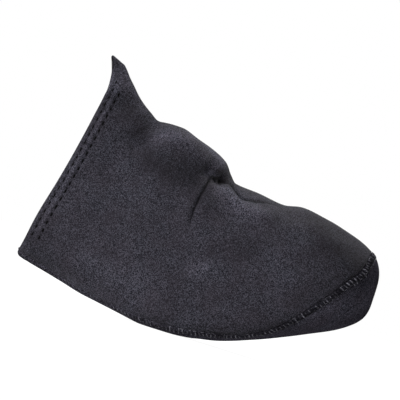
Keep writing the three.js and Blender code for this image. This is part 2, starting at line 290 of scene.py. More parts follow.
# Points, half width, height (negative is a trough), power (2 is round, 1 sharp)
FOLDS = (
    # the crease where the instep's cloth laps over the ball, and the swelling on its toe side
    (INSTEP_CREASE, 0.9, -2.0, 1.3),
    (((-5.5, 91.0), (-6.5, 84.0), (-7.0, 76.0), (-7.5, 67.0)), 3.4, 1.3, 2.0),
    # the pit under the hump's end, its gathers, and the two broad hollows that lead to it
    (((-14.0, 98.5), (-8.0, 96.0), (-2.0, 93.0), (4.0, 91.0)), 4.2, -3.6, 2.0),
    (((-6.4, 98.5), (-4.6, 94.6), (-3.6, 90.5)), 0.9, -1.0, 1.6),
    (((-12.5, 95.0), (-7.0, 93.2), (-2.0, 93.4)), 0.9, -0.8, 1.6),
    (((-0.6, 97.0), (-0.4, 93.0), (1.0, 88.8)), 0.9, -1.0, 1.6),
    (((-9.0, 89.5), (-5.0, 90.5), (-1.5, 91.0)), 0.8, -0.6, 1.6),
    (((-40.0, 97.0), (-24.9, 93.0), (-15.9, 90.0), (-7.0, 88.0)), 8.0, -2.4, 2.0),
    (((-80.0, 86.0), (-48.0, 82.0), (-28.0, 79.0), (-12.0, 78.0)), 14.0, -3.0, 2.0),
    # the hump's shoulder, which catches the light
    (SHOULDER, 3.5, 1.6, 2.0),
    # the crease that runs from the dip along the top of the ball, and the swelling under it
    (BALL_CREASE, 1.0, -2.2, 1.2),
    (((13.0, 85.4), (18.4, 85.9), (24.0, 87.0), (31.4, 88.2), (40.1, 89.1), (52.0, 89.0)), 1.2, -1.1, 1.4),
    (((-3.0, 88.5), (3.0, 85.8), (9.0, 82.6), (17.9, 80.3), (27.9, 80.0), (42.0, 81.6)), 4.0, 1.7, 2.0),
    # the valley behind the ear
    (((-44.0, 114.0), (-48.7, 106.3), (-53.5, 99.0), (-59.0, 91.0)), 5.5, -3.6, 1.8),
    # a thin fold behind the ear and the ear's curled edge
    (EAR_FOLD, 1.5, -0.6, 2.0),
    (((-82.4, 141.5), (-79.9, 135.0), (-78.9, 130.0), (-78.6, 125.0), (-79.2, 117.0)), 0.9, -0.9, 2.0),
    # soft dents low on the ball and on the side of the toe
    (((-20.0, 49.0), (-3.2, 49.2), (10.9, 50.8), (30.0, 54.0)), 5.0, -0.9, 2.0),
    (((50.0, 60.0), (65.3, 64.0), (82.0, 66.0)), 8.0, -0.9, 2.0),
)

# %% Height of the folds
FOLD_REACH = 3.2  # times the half width, past which a fold has died away
FAR_SIDE_SHIFT = 4.0  # how far the far side's folds lie nearer the toe
FAR_SIDE_SHARE = 0.8  # how deep they are beside the near ones
FAR_SIDE_START = 20.0  # distance from the middle over which the change comes in


def ease(value):
    """Smooth step from 0 to 1: 3 v^2 - 2 v^3, held outside."""
    value = np.clip(value, 0, 1)
    return value * value * (3 - 2 * value)


def fold_curve(points, pieces=28):
    """Given points joined by a monotone cubic in each direction over their order."""
    points = np.array(points)
    order = np.arange(len(points), dtype=float)
    t = np.linspace(0, len(points) - 1, pieces)
    return np.stack([smooth(order, points[:, 0])(t), smooth(order, points[:, 1])(t)], axis=-1)


def fold_height(x, z, fold):
    """height * exp(-(distance / width)^power), faded out over the first and last quarter of the line.
    The distance is the shortest one to the line's straight pieces."""
    points, width, height, power = fold
    curve = fold_curve(points)
    found = np.zeros_like(x)
    reach = FOLD_REACH * width
    low = curve.min(axis=0) - reach
    high = curve.max(axis=0) + reach
    near = (x > low[0]) & (x < high[0]) & (z > low[1]) & (z < high[1])
    if not near.any():
        return found
    start = curve[:-1]
    step = np.diff(curve, axis=0)
    offset = np.stack([x[near], z[near]], axis=-1)[:, None, :] - start
    share = np.clip((offset * step).sum(-1) / (step**2).sum(-1), 0, 1)
    distance = np.linalg.norm(offset - share[..., None] * step, axis=-1)
    nearest = distance.argmin(axis=1)
    picked = np.arange(len(nearest))
    along = (nearest + share[picked, nearest]) / len(step)
    fade = ease(np.minimum(along, 1 - along) * 4)
    found[near] = height * fade * np.exp(-((distance[picked, nearest] / width) ** power))
    return found


def all_folds(point, folds):
    """The sum of the folds at a point, with the far side's shifted towards the toe and weaker."""
    far_side = ease(point[..., 1] / FAR_SIDE_START)
    x = point[..., 0] - FAR_SIDE_SHIFT * far_side
    height = sum(fold_height(x, point[..., 2], fold) for fold in folds)
    return height * (1 - (1 - FAR_SIDE_SHARE) * far_side)


print(f"{len(FOLDS)} folds, from {min(f[2] for f in FOLDS)} to {max(f[2] for f in FOLDS)} mm")


# %% [markdown]
# ## What the sewing does to the cloth
# Thread pulls soft foam together. Along the collar each stitch sinks into a dimple, and the strip
# between the two rows puffs up. Beside the overlock seam the cloth puckers, most of all round the toe,
# where the seam bends hardest. Both follow from the stitches' own places, so they are waves counted in
# stitches along the collar and in millimetres along the seam.

# %% Where the stitches and the puckers lie
STITCH_ROWS = (2.9, 7.1)  # distance of the hem's stitch rows from its edge
STITCH_STARTS = (0.25, 0.75)  # the rows are half a stitch apart
STITCH_PITCH = 5.1
DIMPLES = (0.3, 0.65)  # depth of a stitch's dimple in each row
TROUGH = 0.2  # depth of the cloth along a row, between its stitches
TROUGH_WIDTH = 0.8  # half width
HEM_STRIP = 5.0  # middle of the strip between the rows, from the hem's edge
HEM_PUFF = 0.3  # how far it puffs up
HEM_PUFF_WIDTH = 1.4  # half width
ROWS_END = math.radians(22)  # angle from the ridge where the rows run out under the ear's curl
PUCKER_PITCH = 4.6
PUCKER_HEIGHT = 0.3
PUCKER_REACH = 4.5
PUCKER_DRIFT = 37.0  # length over which the puckers grow and shrink

ring_angle = np.linspace(-np.pi, np.pi, 4001)
ring_turns = []
for row, start in zip(STITCH_ROWS, STITCH_STARTS):
    ring = skin(row / LENGTH, ring_angle)
    ring_length = np.concatenate([[0], np.cumsum(np.linalg.norm(np.diff(ring, axis=0), axis=1))])
    number = int(ring_length[-1] / STITCH_PITCH)
    ring_turns.append(ring_length * number / ring_length[-1] - start)
print(f"{number} stitches in a row round the collar")

fine_row = np.linspace(0, len(SEAM) - 1, 3000)
seam_place = seam_at(fine_row)
seam_turned = np.radians(seam_angle(fine_row))
seam_skin = skin(seam_place, seam_turned)
seam_so_far = np.concatenate([[0], np.cumsum(np.linalg.norm(np.diff(seam_skin, axis=0), axis=1))])
seam_slope = np.gradient(seam_turned, np.maximum(seam_place, np.arange(3000) * 1e-9))


# %% Relief of the sewing
def rows_show(angle):
    """1 along the collar, falling to 0 on the ear, where the rows end, and to a third in the collar's
    lowest corner, where the cloth has closed over the threads."""
    height = skin(0.0, angle)[..., 2]
    return ease((np.pi - np.abs(angle)) / ROWS_END) * (0.35 + 0.65 * ease((height - 24) / 14))


def at_stitch(angle, number):
    """1 at the middle of each stitch of a row, 0 between two: (1 + cos(2 pi stitches)) / 2."""
    return 0.5 + 0.5 * np.cos(2 * np.pi * np.interp(angle, ring_angle, ring_turns[number]))


def beside_seam(at, angle):
    """Distance from the seam's line and place along it, in millimetres. The distance is the arc round
    the section, made shorter by the seam's slope there."""
    radius = BALL_WIDTH / 2 * rounding(at, PLAN_START, PLAN_POWER)
    away = (np.abs(angle) - np.interp(at, seam_place, seam_turned)) * radius
    slope = np.interp(at, seam_place, np.clip(seam_slope, -60, 60)) * radius / LENGTH
    return away / np.hypot(1, slope), np.interp(at, seam_place, seam_so_far)


def hem_relief(edge, angle, inset):
    """Two troughs with a dimple at each stitch, and a puffy strip between them. On the inner side of
    the hem the sign turns, because the thread pulls both faces together."""
    troughs = sum(
        -(TROUGH + DIMPLES[i] * at_stitch(angle, i)) * np.exp(-(((edge - row) / TROUGH_WIDTH) ** 2))
        for i, row in enumerate(STITCH_ROWS)
    )
    puff = HEM_PUFF * np.exp(-(((edge - HEM_STRIP) / HEM_PUFF_WIDTH) ** 2))
    return (troughs + puff) * np.clip(1 - inset / WALL, -0.6, 1) * rows_show(angle)


def pucker(at, angle):
    """A slanted sine wave along the seam, which dies away on both sides of it by
    exp(-distance / reach). Its pitch and height drift, and it is higher round the toe."""
    away, so_far = beside_seam(at, angle)
    uneven = 0.6 + 0.4 * np.sin(2 * np.pi * so_far / PUCKER_DRIFT)
    round_toe = 1 + 0.3 * ease((at - 0.84) / 0.06)
    wave = np.sin(2 * np.pi * (so_far + 0.5 * away) / PUCKER_PITCH + 1.4 * np.sin(so_far / 9))
    return PUCKER_HEIGHT * uneven * round_toe * wave * np.exp(-np.abs(away) / PUCKER_REACH)


# %% [markdown]
# ## The cloth's own shape
# A smooth loft is too even for cloth that has been worn. A slow ripple of a few sine waves is added
# with the folds along the skin's outer normal. In a few places along the outline the cloth stands up
# to a millimetre and a half fuller or shorter than the loft.

# %% Ripples
RIPPLES = 9  # sine waves, each in a direction of its own
RIPPLE_HEIGHT = 0.35
RIPPLE_LENGTHS = (13.0, 34.0)  # the shortest and the longest wave
ripple_random = np.random.default_rng(7)
ripple_way = unit(ripple_random.normal(size=(RIPPLES, 3)) * (1.0, 0.6, 1.0))
ripple_length = ripple_random.uniform(*RIPPLE_LENGTHS, RIPPLES)
ripple_start = ripple_random.uniform(0, 2 * np.pi, RIPPLES)
print("lengths of the ripples in mm:", np.round(ripple_length).tolist())

# %% Bulges and the cloth
# Centre (x, z), radius, and how far the cloth moves there (x, z)
BULGES = (
    ((-80.0, 138.5), 6.0, (-0.7, 1.3)),  # the ear's tip
    ((-77.0, 137.5), 4.0, (0.9, 1.0)),  # which is blunt on the toe's side
    ((-81.0, 140.5), 3.0, (-1.3, 0.2)),  # and curls away from it
    ((-73.5, 134.5), 4.5, (0.9, 0.5)),  # its front edge
    ((-79.5, 121.0), 10.0, (-1.0, 0.0)),  # the collar under the ear
    ((-82.0, 105.0), 13.0, (-0.5, 0.0)),  # its upper part
    ((-96.0, 42.0), 17.0, (-0.9, 0.0)),  # and its lower part
    ((-99.5, 17.5), 6.0, (-0.2, 0.9)),  # the collar's lowest corner
    ((-60.0, 6.0), 13.0, (0.0, -0.7)),  # the arch
    ((11.0, 0.0), 9.0, (0.0, 1.1)),  # the spring under the toe, from the ball on
    ((-40.0, 113.5), 8.0, (0.2, 0.75)),  # the instep's crown
    ((88.0, 79.0), 7.0, (-0.4, -0.5)),  # the toe's top
    ((100.0, 62.0), 10.0, (0.5, 0.0)),  # its front
    ((98.0, 44.0), 9.0, (0.8, -1.0)),  # and its lower edge
)


def bulge(point):
    """A shift in the side plane: each bulge's step times exp(-(distance / radius)^2)."""
    shift = np.zeros_like(point)
    for (x, z), radius, (step_x, step_z) in BULGES:
        near = np.exp(-((point[..., 0] - x) ** 2 + (point[..., 2] - z) ** 2) / radius**2)
        shift[..., 0] += step_x * near
        shift[..., 2] += step_z * near
    return shift


def relief(at, angle, inset=0.0):
    """How far the cloth stands out of the plain skin, in millimetres. On the ridge, which makes the
    outline, only a fifth of the folds and the ripple is left, and where the cover stands none is."""
    at = np.clip(at, 0, 1)
    point = skin(at, angle)
    flank = 0.2 + 0.8 * ease((np.abs(outward(at, angle)[..., 1]) - 0.1) / 0.4)
    waves = np.sin(2 * np.pi * (point @ ripple_way.T) / ripple_length + ripple_start)
    ripple = RIPPLE_HEIGHT * waves.sum(axis=-1) / math.sqrt(RIPPLES)
    slow = (all_folds(point, FOLDS) + ripple) * flank + pucker(at, angle)
    hem = hem_relief(at * LENGTH, angle, inset)
    return slow * ease(point[..., 2] / 6) + hem * ease(point[..., 2] / 3)


def cloth(at, angle, inset=0.0):
    """A point of the folded cloth: the skin's point, moved by the bulges and, along the outer normal,
    by the relief."""
    at, angle, inset = np.broadcast_arrays(at * 1.0, angle * 1.0, inset)
    point = skin(at, angle, inset)
    return point + bulge(point) + relief(at, angle, inset)[..., None] * outward(at, angle)


# %% [markdown]
# ## Painted light and shade
# Light and shade are painted into the jersey's colour: the creases, hollows and the toe darker, and
# the hump's shoulder, its rim and other raised places paler. A texture could be baked from the shape,
# but lines like those of the folds can say it too, each with a width and a change of brightness. Every
# point of the mesh carries their sum as one number, which the material reads as an attribute.

# %% Lines of painted light and shade
# Points (x, z) in millimetres, half width, change of brightness, power
LIGHT_AND_SHADE_LINES = (
    # painted shade: the two creases and the pit between them
    (INSTEP_CREASE, 0.8, -0.5, 2.0),
    ((*BALL_CREASE, (24.0, 87.0), (40.1, 89.1)), 0.8, -0.8, 2.0),
    (((-8.6, 95.4), (-4.3, 93.2), (-0.3, 92.0), (3.0, 91.2)), 2.6, -0.5, 2.0),
    (((-6.0, 98.5), (-2.5, 97.5), (1.0, 94.5), (3.0, 91.0)), 3.5, -0.45, 2.0),
    # painted shade: the hollow under the hump, the ball's side, and the side under the instep
    (((-60.0, 93.0), (-45.0, 92.0), (-30.0, 90.0), (-16.0, 88.0), (-13.0, 72.0)), 8.5, -0.48, 2.0),
    (((14.0, 52.0), (24.0, 60.0), (40.0, 66.0)), 8.0, -0.18, 2.0),
    (((-75.0, 70.0), (-56.8, 70.1), (-40.0, 70.0)), 10.0, -0.1, 2.0),
    # painted shade: the valley behind the ear, the hump's end, the ball's rear, the collar's lowest corner
    (((-76.0, 124.0), (-64.0, 113.0), (-53.0, 106.0), (-44.0, 104.0)), 6.0, -0.3, 2.0),
    (((-30.0, 98.0), (-20.0, 97.5), (-11.0, 95.0)), 5.0, -0.3, 2.0),
    (((2.0, 51.0), (14.0, 55.0)), 6.0, -0.15, 2.0),
    (((-100.0, 22.0), (-97.0, 34.0)), 5.0, -0.25, 2.0),
    # painted light: the swelling beside the creases, the ball under it, the hump's shoulder and its rim
    (((-8.5, 88.5), (-2.6, 87.3), (5.0, 84.6), (14.3, 81.1), (24.0, 79.0), (33.0, 77.5)), 4.6, 0.8, 2.0),
    (((-4.0, 72.0), (9.0, 75.0), (20.0, 72.0)), 6.0, 0.2, 2.0),
    (((-50.0, 100.0), (-41.5, 105.2), (-35.0, 107.3), (-27.8, 107.2), (-18.0, 105.5)), 2.7, 0.55, 2.0),
    (((-34.0, 113.0), (-26.8, 111.5), (-16.8, 108.0), (-5.1, 103.3), (-1.5, 99.0)), 2.0, 1.0, 2.0),
    # painted light: beside the hem, the lower side and edge, low on the ball, and the cloth over the seam
    (((-84.0, 40.0), (-79.0, 60.0), (-73.0, 85.0)), 12.0, 0.16, 2.0),
    (((-85.0, 34.0), (-57.7, 22.0), (-30.8, 14.0), (0.0, 14.0)), 12.0, 0.2, 2.0),
    (((-86.0, 13.0), (-60.0, 6.0), (-41.0, 2.5), (-22.0, 0.0)), 5.0, 0.75, 2.0),
    (((10.0, 42.0), (40.2, 48.9), (60.0, 46.0)), 9.0, 0.15, 2.0),
    (((-8.0, 38.0), (8.0, 43.0)), 5.0, 0.4, 2.0),
    (((58.0, 28.0), (74.0, 37.0), (86.0, 48.0)), 5.0, 0.4, 2.0),
    # painted shade: the cloth round the toe, the sole panel's front and its lower edge
    (((45.0, 88.0), (62.0, 82.0), (78.0, 74.0), (88.0, 62.0), (92.0, 47.0)), 9.0, -0.38, 2.0),
    (((95.0, 76.0), (101.5, 66.0), (102.0, 54.0), (98.0, 41.0), (87.0, 29.0)), 3.4, -0.45, 2.0),
    (((8.0, -2.0), (30.0, -0.5), (52.0, 6.0), (75.0, 18.0), (88.0, 29.0)), 3.0, -0.35, 2.0),
    # the ear: painted light in the middle and along its edges, painted shade in its curl
    (((-76.0, 134.0), (-70.0, 121.0)), 6.5, 0.45, 2.0),
    (((-82.4, 140.5), (-81.3, 137.5), (-79.9, 133.5)), 0.8, -0.8, 2.0),
    (((-78.3, 131.5), (-78.3, 124.0)), 1.3, 0.4, 2.0),
    (((-81.0, 141.0), (-78.0, 138.5)), 2.5, 0.5, 2.0),
    (((-79.0, 140.5), (-73.0, 134.5), (-65.0, 126.5), (-56.0, 118.0)), 2.5, 0.5, 2.0),
    # painted shade: the thin fold behind the ear, the gathers in the pit, and the cloth beside the crease
    (EAR_FOLD, 1.4, -0.22, 2.0),
    (((-9.5, 99.2), (-5.0, 97.6), (-1.0, 97.0)), 0.8, -0.35, 2.0),
    (((-8.5, 95.2), (-4.5, 94.8), (0.0, 93.6)), 0.8, -0.4, 2.0),
    (((-5.5, 92.6), (-3.0, 92.4), (1.0, 91.2)), 0.8, -0.35, 2.0),
    (((-3.5, 97.5), (-6.5, 90.0), (-8.7, 80.0), (-11.0, 70.0)), 3.0, -0.22, 2.0),
)

# %% Painted light and shade at a point
GROOVE_AT = 2.8  # distance of the painted shade in the groove from the seam's middle
GROOVE_WIDTH = 0.9  # half width
STRIP_PALE = 0.55  # painted light: how much paler the puffed strip between the stitch rows is
STRIP_WIDTH = 1.3  # half width
EDGE_SHADE = 0.25  # painted shade: how much darker the rolled edge is
EDGE_WIDTH = 0.8  # half width
PAINTED_RANGE = (0.1, 2.0)  # the least and the most


def painted_light_and_shade(at, angle):
    """Brightness of painted light and shade: 1 plus the listed places, less a broken line of painted
    shade on both sides of the seam, plus a painted pale strip between the stitch rows, less painted
    shade in a spot over each stitch and along the rolled edge."""
    away, so_far = beside_seam(at, angle)
    edge = at * LENGTH
    # painted light and shade along the listed lines
    bright = 1 + all_folds(skin(at, angle), LIGHT_AND_SHADE_LINES)
    hole = 0.6 + 0.4 * np.sin(2 * np.pi * so_far / PUCKER_PITCH)
    # painted shade in the grooves beside the seam, stronger on the upper's side and broken along it
    groove = np.where(away > 0, 0.1 + 0.5 * ease((at - 0.25) / 0.4), 0.15) * hole
    bright = bright - groove * np.exp(-(((np.abs(away) - GROOVE_AT) / GROOVE_WIDTH) ** 2))
    # painted light on the puffed strip between the stitch rows, painted shade in each stitch's dimple and
    # on the rolled edge
    hem = STRIP_PALE * np.exp(-(((edge - HEM_STRIP) / STRIP_WIDTH) ** 2))
    for i, row in enumerate(STITCH_ROWS):
        sunk = 0.1 + DIMPLES[i] * at_stitch(angle, i) ** 2
        hem = hem - sunk * np.exp(-(((edge - row) / TROUGH_WIDTH) ** 2))
    bright = bright + hem * rows_show(angle) - EDGE_SHADE * np.exp(-((edge / EDGE_WIDTH) ** 2))
    return np.clip(bright, *PAINTED_RANGE)


print(f"{len(LIGHT_AND_SHADE_LINES)} pale and dark places of the nap")


# %% [markdown]
# ## From grids to solids
# Cloth has two faces and a cut edge, so each piece is a closed solid: an outer grid, an inner grid
# with the same rows and columns, and a wall along every free edge. Working on whole arrays keeps it
# quick, and welding equal points first closes the toe, where a whole row runs into one point.


# %% Shell and mesh helpers
def shell(outer, inner):
    """Two triangles for each square of the outer grid, the same ones turned round on the inner grid,
    and two for each edge that has a face on one side only. Returns points, faces and a group for
    each face: 0 outside, 1 inside, 2 the wall."""
    rows, columns = outer.shape[:2]
    flat = outer.reshape(-1, 3)
    _, first, same = np.unique(np.round(flat * 500), axis=0, return_index=True, return_inverse=True)
    corner = first[same.ravel()].reshape(rows, columns)
    a, b, c, d = corner[:-1, :-1], corner[1:, :-1], corner[1:, 1:], corner[:-1, 1:]
    halves = [np.stack(three, axis=-1).reshape(-1, 3) for three in ((a, b, c), (a, c, d))]
    faces = np.concatenate(halves)
    whole = (faces[:, 0] != faces[:, 1]) & (faces[:, 1] != faces[:, 2]) & (faces[:, 2] != faces[:, 0])
    faces = faces[whole]
    count = rows * columns
    start = faces.ravel()
    end = np.roll(faces, -1, axis=1).ravel()
    free = ~np.isin(start * count + end, end * count + start)
    p, q = start[free], end[free]
    wall = np.concatenate([np.stack([q, p, p + count], 1), np.stack([q, p + count, q + count], 1)])
    points = np.concatenate([flat, inner.reshape(-1, 3)])
    faces = np.concatenate([faces, faces[:, ::-1] + count, wall])
    group = np.repeat([0, 1, 2], [whole.sum(), whole.sum(), len(wall)])
    return points, faces, group


SHARP = 38.0  # degrees between two faces, past which their edge stays sharp


def make_piece(name, points, faces, materials, group=None, places=None, bright=None, sharp=SHARP):
    """Writes the arrays into a mesh, drops points that no face uses, and shades it smooth except
    over sharp edges. places are the two numbers of the cloth's own map for each point, and bright is
    the painted light and shade, given for all points or for those of the first grid only, and 1 elsewhere."""
    used, index = np.unique(faces, return_inverse=True)
    mesh = bpy.data.meshes.new(name)
    mesh.from_pydata((points[used] * MM).tolist(), [], index.reshape(faces.shape).tolist())
    for material in materials:
        mesh.materials.append(material)
    if group is not None:
        mesh.polygons.foreach_set("material_index", group.astype(np.int32))
    if places is not None:
        loops = np.empty(len(mesh.loops), dtype=np.int32)
        mesh.loops.foreach_get("vertex_index", loops)
        mesh.uv_layers.new(name="cloth")
        mesh.uv_layers["cloth"].data.foreach_set("uv", (places[used][loops] * MM).ravel())
    if bright is not None:
        both = np.concatenate([bright.ravel(), np.ones(len(points) - bright.size)])
        # each point carries its painted light and shade as an attribute
        mesh.attributes.new("painted_light_and_shade", "FLOAT", "POINT").data.foreach_set("value", both[used])
    mesh.polygons.foreach_set("use_smooth", np.ones(len(mesh.polygons), dtype=bool))
    mesh.set_sharp_from_angle(angle=math.radians(sharp))
    mesh.update()
    piece = bpy.data.objects.new(name, mesh)
    bpy.context.scene.collection.objects.link(piece)
    print(f"{name}: {len(used)} points, {sum(len(f) - 2 for f in index.reshape(faces.shape))} triangles")
    return piece


MAP_RADIUS = 40.0  # about the section's mean radius


def cloth_map(at, angle):
    """The cloth's own map in millimetres: round the section, and along the cover."""
    return np.stack([angle * MAP_RADIUS, at * LENGTH], axis=-1).reshape(-1, 2)


# %% [markdown]
# ## Materials
# Toe covers are made of jersey, a knit of black polyester or nylon, glued on both sides of a black
# chloroprene foam. Knit scatters light in all directions, so it is matt, and each loop catches a speck
# of light. A plain bump would do from afar, but close by the eye expects flecks, loops and lint, so
# colour and height both come from patterns. A Mix node that mixes colours takes them at its inputs 6
# and 7 and gives the result at its output 2.


# %% Colour and node helpers
def linear(code):
    """sRGB hex to linear: below 0.04045 divided by 12.92, else ((c + 0.055) / 1.055)^2.4."""
    shares = np.array([int(code[i : i + 2], 16) / 255 for i in (1, 3, 5)])
    linear_shares = np.where(shares <= 0.04045, shares / 12.92, ((shares + 0.055) / 1.055) ** 2.4)
    return (*linear_shares.tolist(), 1.0)


def add(tree, kind, sockets=None, **settings):
    """Adds a node with its settings. sockets maps an input's name or number to a value or to the
    output of another node."""
    node = tree.nodes.new(kind)
    for name, value in settings.items():
        setattr(node, name, value)
    for key, value in (sockets or {}).items():
        if isinstance(value, bpy.types.NodeSocket):
            tree.links.new(value, node.inputs[key])
        else:
            node.inputs[key].default_value = value
    return node


def new_material(name):
    """A material with an empty node tree, and that tree."""
    material = bpy.data.materials.new(name)
    material.use_nodes = True
    material.node_tree.nodes.clear()
    return material, material.node_tree


print("linear value of sRGB #808080:", round(linear("#808080")[0], 3))


# %% Knitted jersey
LOOP = 0.4  # mm across a loop of fine jersey
WALE = 1.5  # mm between columns of loops, drawn coarser than the real 0.5 mm, which is too fine to show
LINT = 2.2  # mm from fleck to fleck
STRETCH = 13.0  # mm across a patch where the cloth is stretched more or less
DRIFT = 28.0  # mm over which the tone drifts
SPECKS = 1.8  # above 1: few pale loops among many dark ones
GRAIN_MIDDLE = 0.62  # the grain's mean, about which the stretch makes it stronger or weaker


def knitted_jersey(name, dark, light, loop_depth, roughness, wale_share=0.35, gloss=0.07):
    """Jersey laminated on neoprene. Each loop has a brightness of its own, with fibres on it and a
    faint ribbing for the columns of loops. Stretch makes the grain strong here and weak there, and
    handling and age give slow drifts of tone and of tint."""
    material, tree = new_material(name)
    place = add(tree, "ShaderNodeTexCoord")
    objects = place.outputs["Object"]
    loops = add(
        tree,
        "ShaderNodeTexVoronoi",
        {"Vector": objects, "Scale": 1 / (LOOP * MM), "Randomness": 0.9},
    )
    fibres = add(
        tree,
        "ShaderNodeTexNoise",
        {"Vector": objects, "Scale": 2 / (LOOP * MM), "Detail": 1.0, "Roughness": 0.7},
    )
    ribs = add(
        tree,
        "ShaderNodeTexWave",
        {
            "Vector": place.outputs["UV"],
            "Scale": 1 / (2 * WALE * MM),
            "Distortion": 2.5,
            "Detail": 2.0,
            "Detail Scale": 2.0,
        },
        bands_direction="Y",
    )
    slow = add(
        tree,
        "ShaderNodeTexNoise",
        {"Vector": objects, "Scale": 1 / (DRIFT * MM), "Detail": 2.0},
    )
    patches = add(
        tree,
        "ShaderNodeTexNoise",
        {"Vector": objects, "Scale": 1 / (STRETCH * MM), "Detail": 2.0},
    )
    lint = add(
        tree,
        "ShaderNodeTexNoise",
        {"Vector": objects, "Scale": 1 / (LINT * MM), "Detail": 4.0, "Roughness": 0.7},
    )
    fibre = add(
        tree,
        "ShaderNodeMapRange",
        {"Value": fibres.outputs["Fac"], "From Min": 0.3, "From Max": 0.7, "To Min": -0.5, "To Max": 0.5},
    )
    ribbed = add(
        tree,
        "ShaderNodeMath",
        {0: ribs.outputs["Fac"], 1: wale_share * 0.4, 2: fibre.outputs["Result"]},
        operation="MULTIPLY_ADD",
    )
    grain = add(
        tree,
        "ShaderNodeMath",
        {0: loops.outputs["Color"], 1: ribbed.outputs[0]},
        operation="ADD",
    )
    stretch = add(
        tree,
        "ShaderNodeMapRange",
        {
            "Value": patches.outputs["Fac"],
            "From Min": 0.35,
            "From Max": 0.65,
            "To Min": 0.75,
            "To Max": 1.3,
        },
    )
    centred = add(tree, "ShaderNodeMath", {0: grain.outputs[0], 1: GRAIN_MIDDLE}, operation="SUBTRACT")
    speckle = add(
        tree,
        "ShaderNodeMath",
        {0: centred.outputs[0], 1: stretch.outputs["Result"], 2: 0.5},
        operation="MULTIPLY_ADD",
        use_clamp=True,
    )
    specks = add(tree, "ShaderNodeMath", {0: speckle.outputs[0], 1: SPECKS}, operation="POWER")
    cloth_colour = add(
        tree,
        "ShaderNodeMix",
        {"Factor": specks.outputs[0], 6: linear(dark), 7: linear(light)},
        data_type="RGBA",
    )
    tint = add(
        tree,
        "ShaderNodeMix",
        {"Factor": patches.outputs["Fac"], 6: linear("#fff2f5"), 7: linear("#f2faff")},
        data_type="RGBA",
    )
    tinted = add(
        tree,
        "ShaderNodeVectorMath",
        {0: cloth_colour.outputs[2], 1: tint.outputs[2]},
        operation="MULTIPLY",
    )
    tone = add(
        tree,
        "ShaderNodeMapRange",
        {"Value": slow.outputs["Fac"], "From Min": 0.35, "From Max": 0.7, "To Min": 0.88, "To Max": 1.12},
    )
    # the painted light and shade of each point scales the cloth's colour
    painted_light_attribute = add(tree, "ShaderNodeAttribute", attribute_name="painted_light_and_shade")
    brightness = add(
        tree,
        "ShaderNodeMath",
        {0: tone.outputs["Result"], 1: painted_light_attribute.outputs["Fac"]},
        operation="MULTIPLY",
    )
    toned = add(
        tree,
        "ShaderNodeVectorMath",
        {0: tinted.outputs[0], "Scale": brightness.outputs[0]},
        operation="SCALE",
    )
    lint_here = add(
        tree,
        "ShaderNodeMapRange",
        {"Value": lint.outputs["Fac"], "From Min": 0.74, "From Max": 0.78, "To Min": 0.0, "To Max": 0.5},
    )
    with_lint = add(
        tree,
        "ShaderNodeMix",
        {"Factor": lint_here.outputs["Result"], 6: toned.outputs[0], 7: linear("#8d8d95")},
        data_type="RGBA",
    )
    loop_height = add(
        tree,
        "ShaderNodeMath",
        {0: loops.outputs["Distance"], 1: -0.8, 2: ribbed.outputs[0]},
        operation="MULTIPLY_ADD",
    )
    bump = add(
        tree,
        "ShaderNodeBump",
        {"Height": loop_height.outputs[0], "Strength": 1.0, "Distance": loop_depth * MM},
    )
    shader = add(
        tree,
        "ShaderNodeBsdfPrincipled",
        {
            "Base Color": with_lint.outputs[2],
            "Roughness": roughness,
            "Specular IOR Level": gloss,
            "Normal": bump.outputs["Normal"],
        },
    )
    add(tree, "ShaderNodeOutputMaterial", {"Surface": shader.outputs["BSDF"]})
    return material


upper_jersey = knitted_jersey("black_knitted_jersey", "#070609", "#4e4d56", 0.25, 0.85, wale_share=0.15)
sole_jersey = knitted_jersey(
    "black_smooth_jersey", "#100f12", "#4f4e57", 0.2, 0.8, wale_share=0.2, gloss=0.0
)
lining_jersey = knitted_jersey("lining_jersey", "#141317", "#323136", 0.2, 0.9, wale_share=0.6)
print("jerseys:", upper_jersey.name, sole_jersey.name, lining_jersey.name)


# %% Thread and foam
PLIES = 2.2  # mm of thread that are alike, drawn coarser than the real 0.2 mm, which is too fine to show
CELLS = 0.6  # mm across a cell of the foam, drawn coarser than the real 0.2 mm for the same reason


def spun_thread(name, dark, light, roughness):
    """Spun polyester thread: satin, with fine plies that show as short light and dark dashes. The light
    dashes are painted highlights of the satin, placed by a noise, so some stitches come out paler."""
    material, tree = new_material(name)
    place = add(tree, "ShaderNodeTexCoord")
    plies = add(
        tree,
        "ShaderNodeTexNoise",
        {"Vector": place.outputs["Object"], "Scale": 1 / (PLIES * MM), "Detail": 4.0, "Roughness": 0.75},
    )
    # painted highlights where the noise is high
    pale = add(
        tree,
        "ShaderNodeMapRange",
        {"Value": plies.outputs["Fac"], "From Min": 0.43, "From Max": 0.66, "To Min": 0.0, "To Max": 1.0},
    )
    colour = add(
        tree,
        "ShaderNodeMix",
        {"Factor": pale.outputs["Result"], 6: linear(dark), 7: linear(light)},
        data_type="RGBA",
    )
    bump = add(
        tree,
        "ShaderNodeBump",
        {"Height": plies.outputs["Fac"], "Strength": 0.6, "Distance": 0.15 * MM},
    )
    shader = add(
        tree,
        "ShaderNodeBsdfPrincipled",
        {
            "Base Color": colour.outputs[2],
            "Roughness": roughness,
            "Specular IOR Level": 0.05,
            "Normal": bump.outputs["Normal"],
        },
    )
    add(tree, "ShaderNodeOutputMaterial", {"Surface": shader.outputs["BSDF"]})
    return material


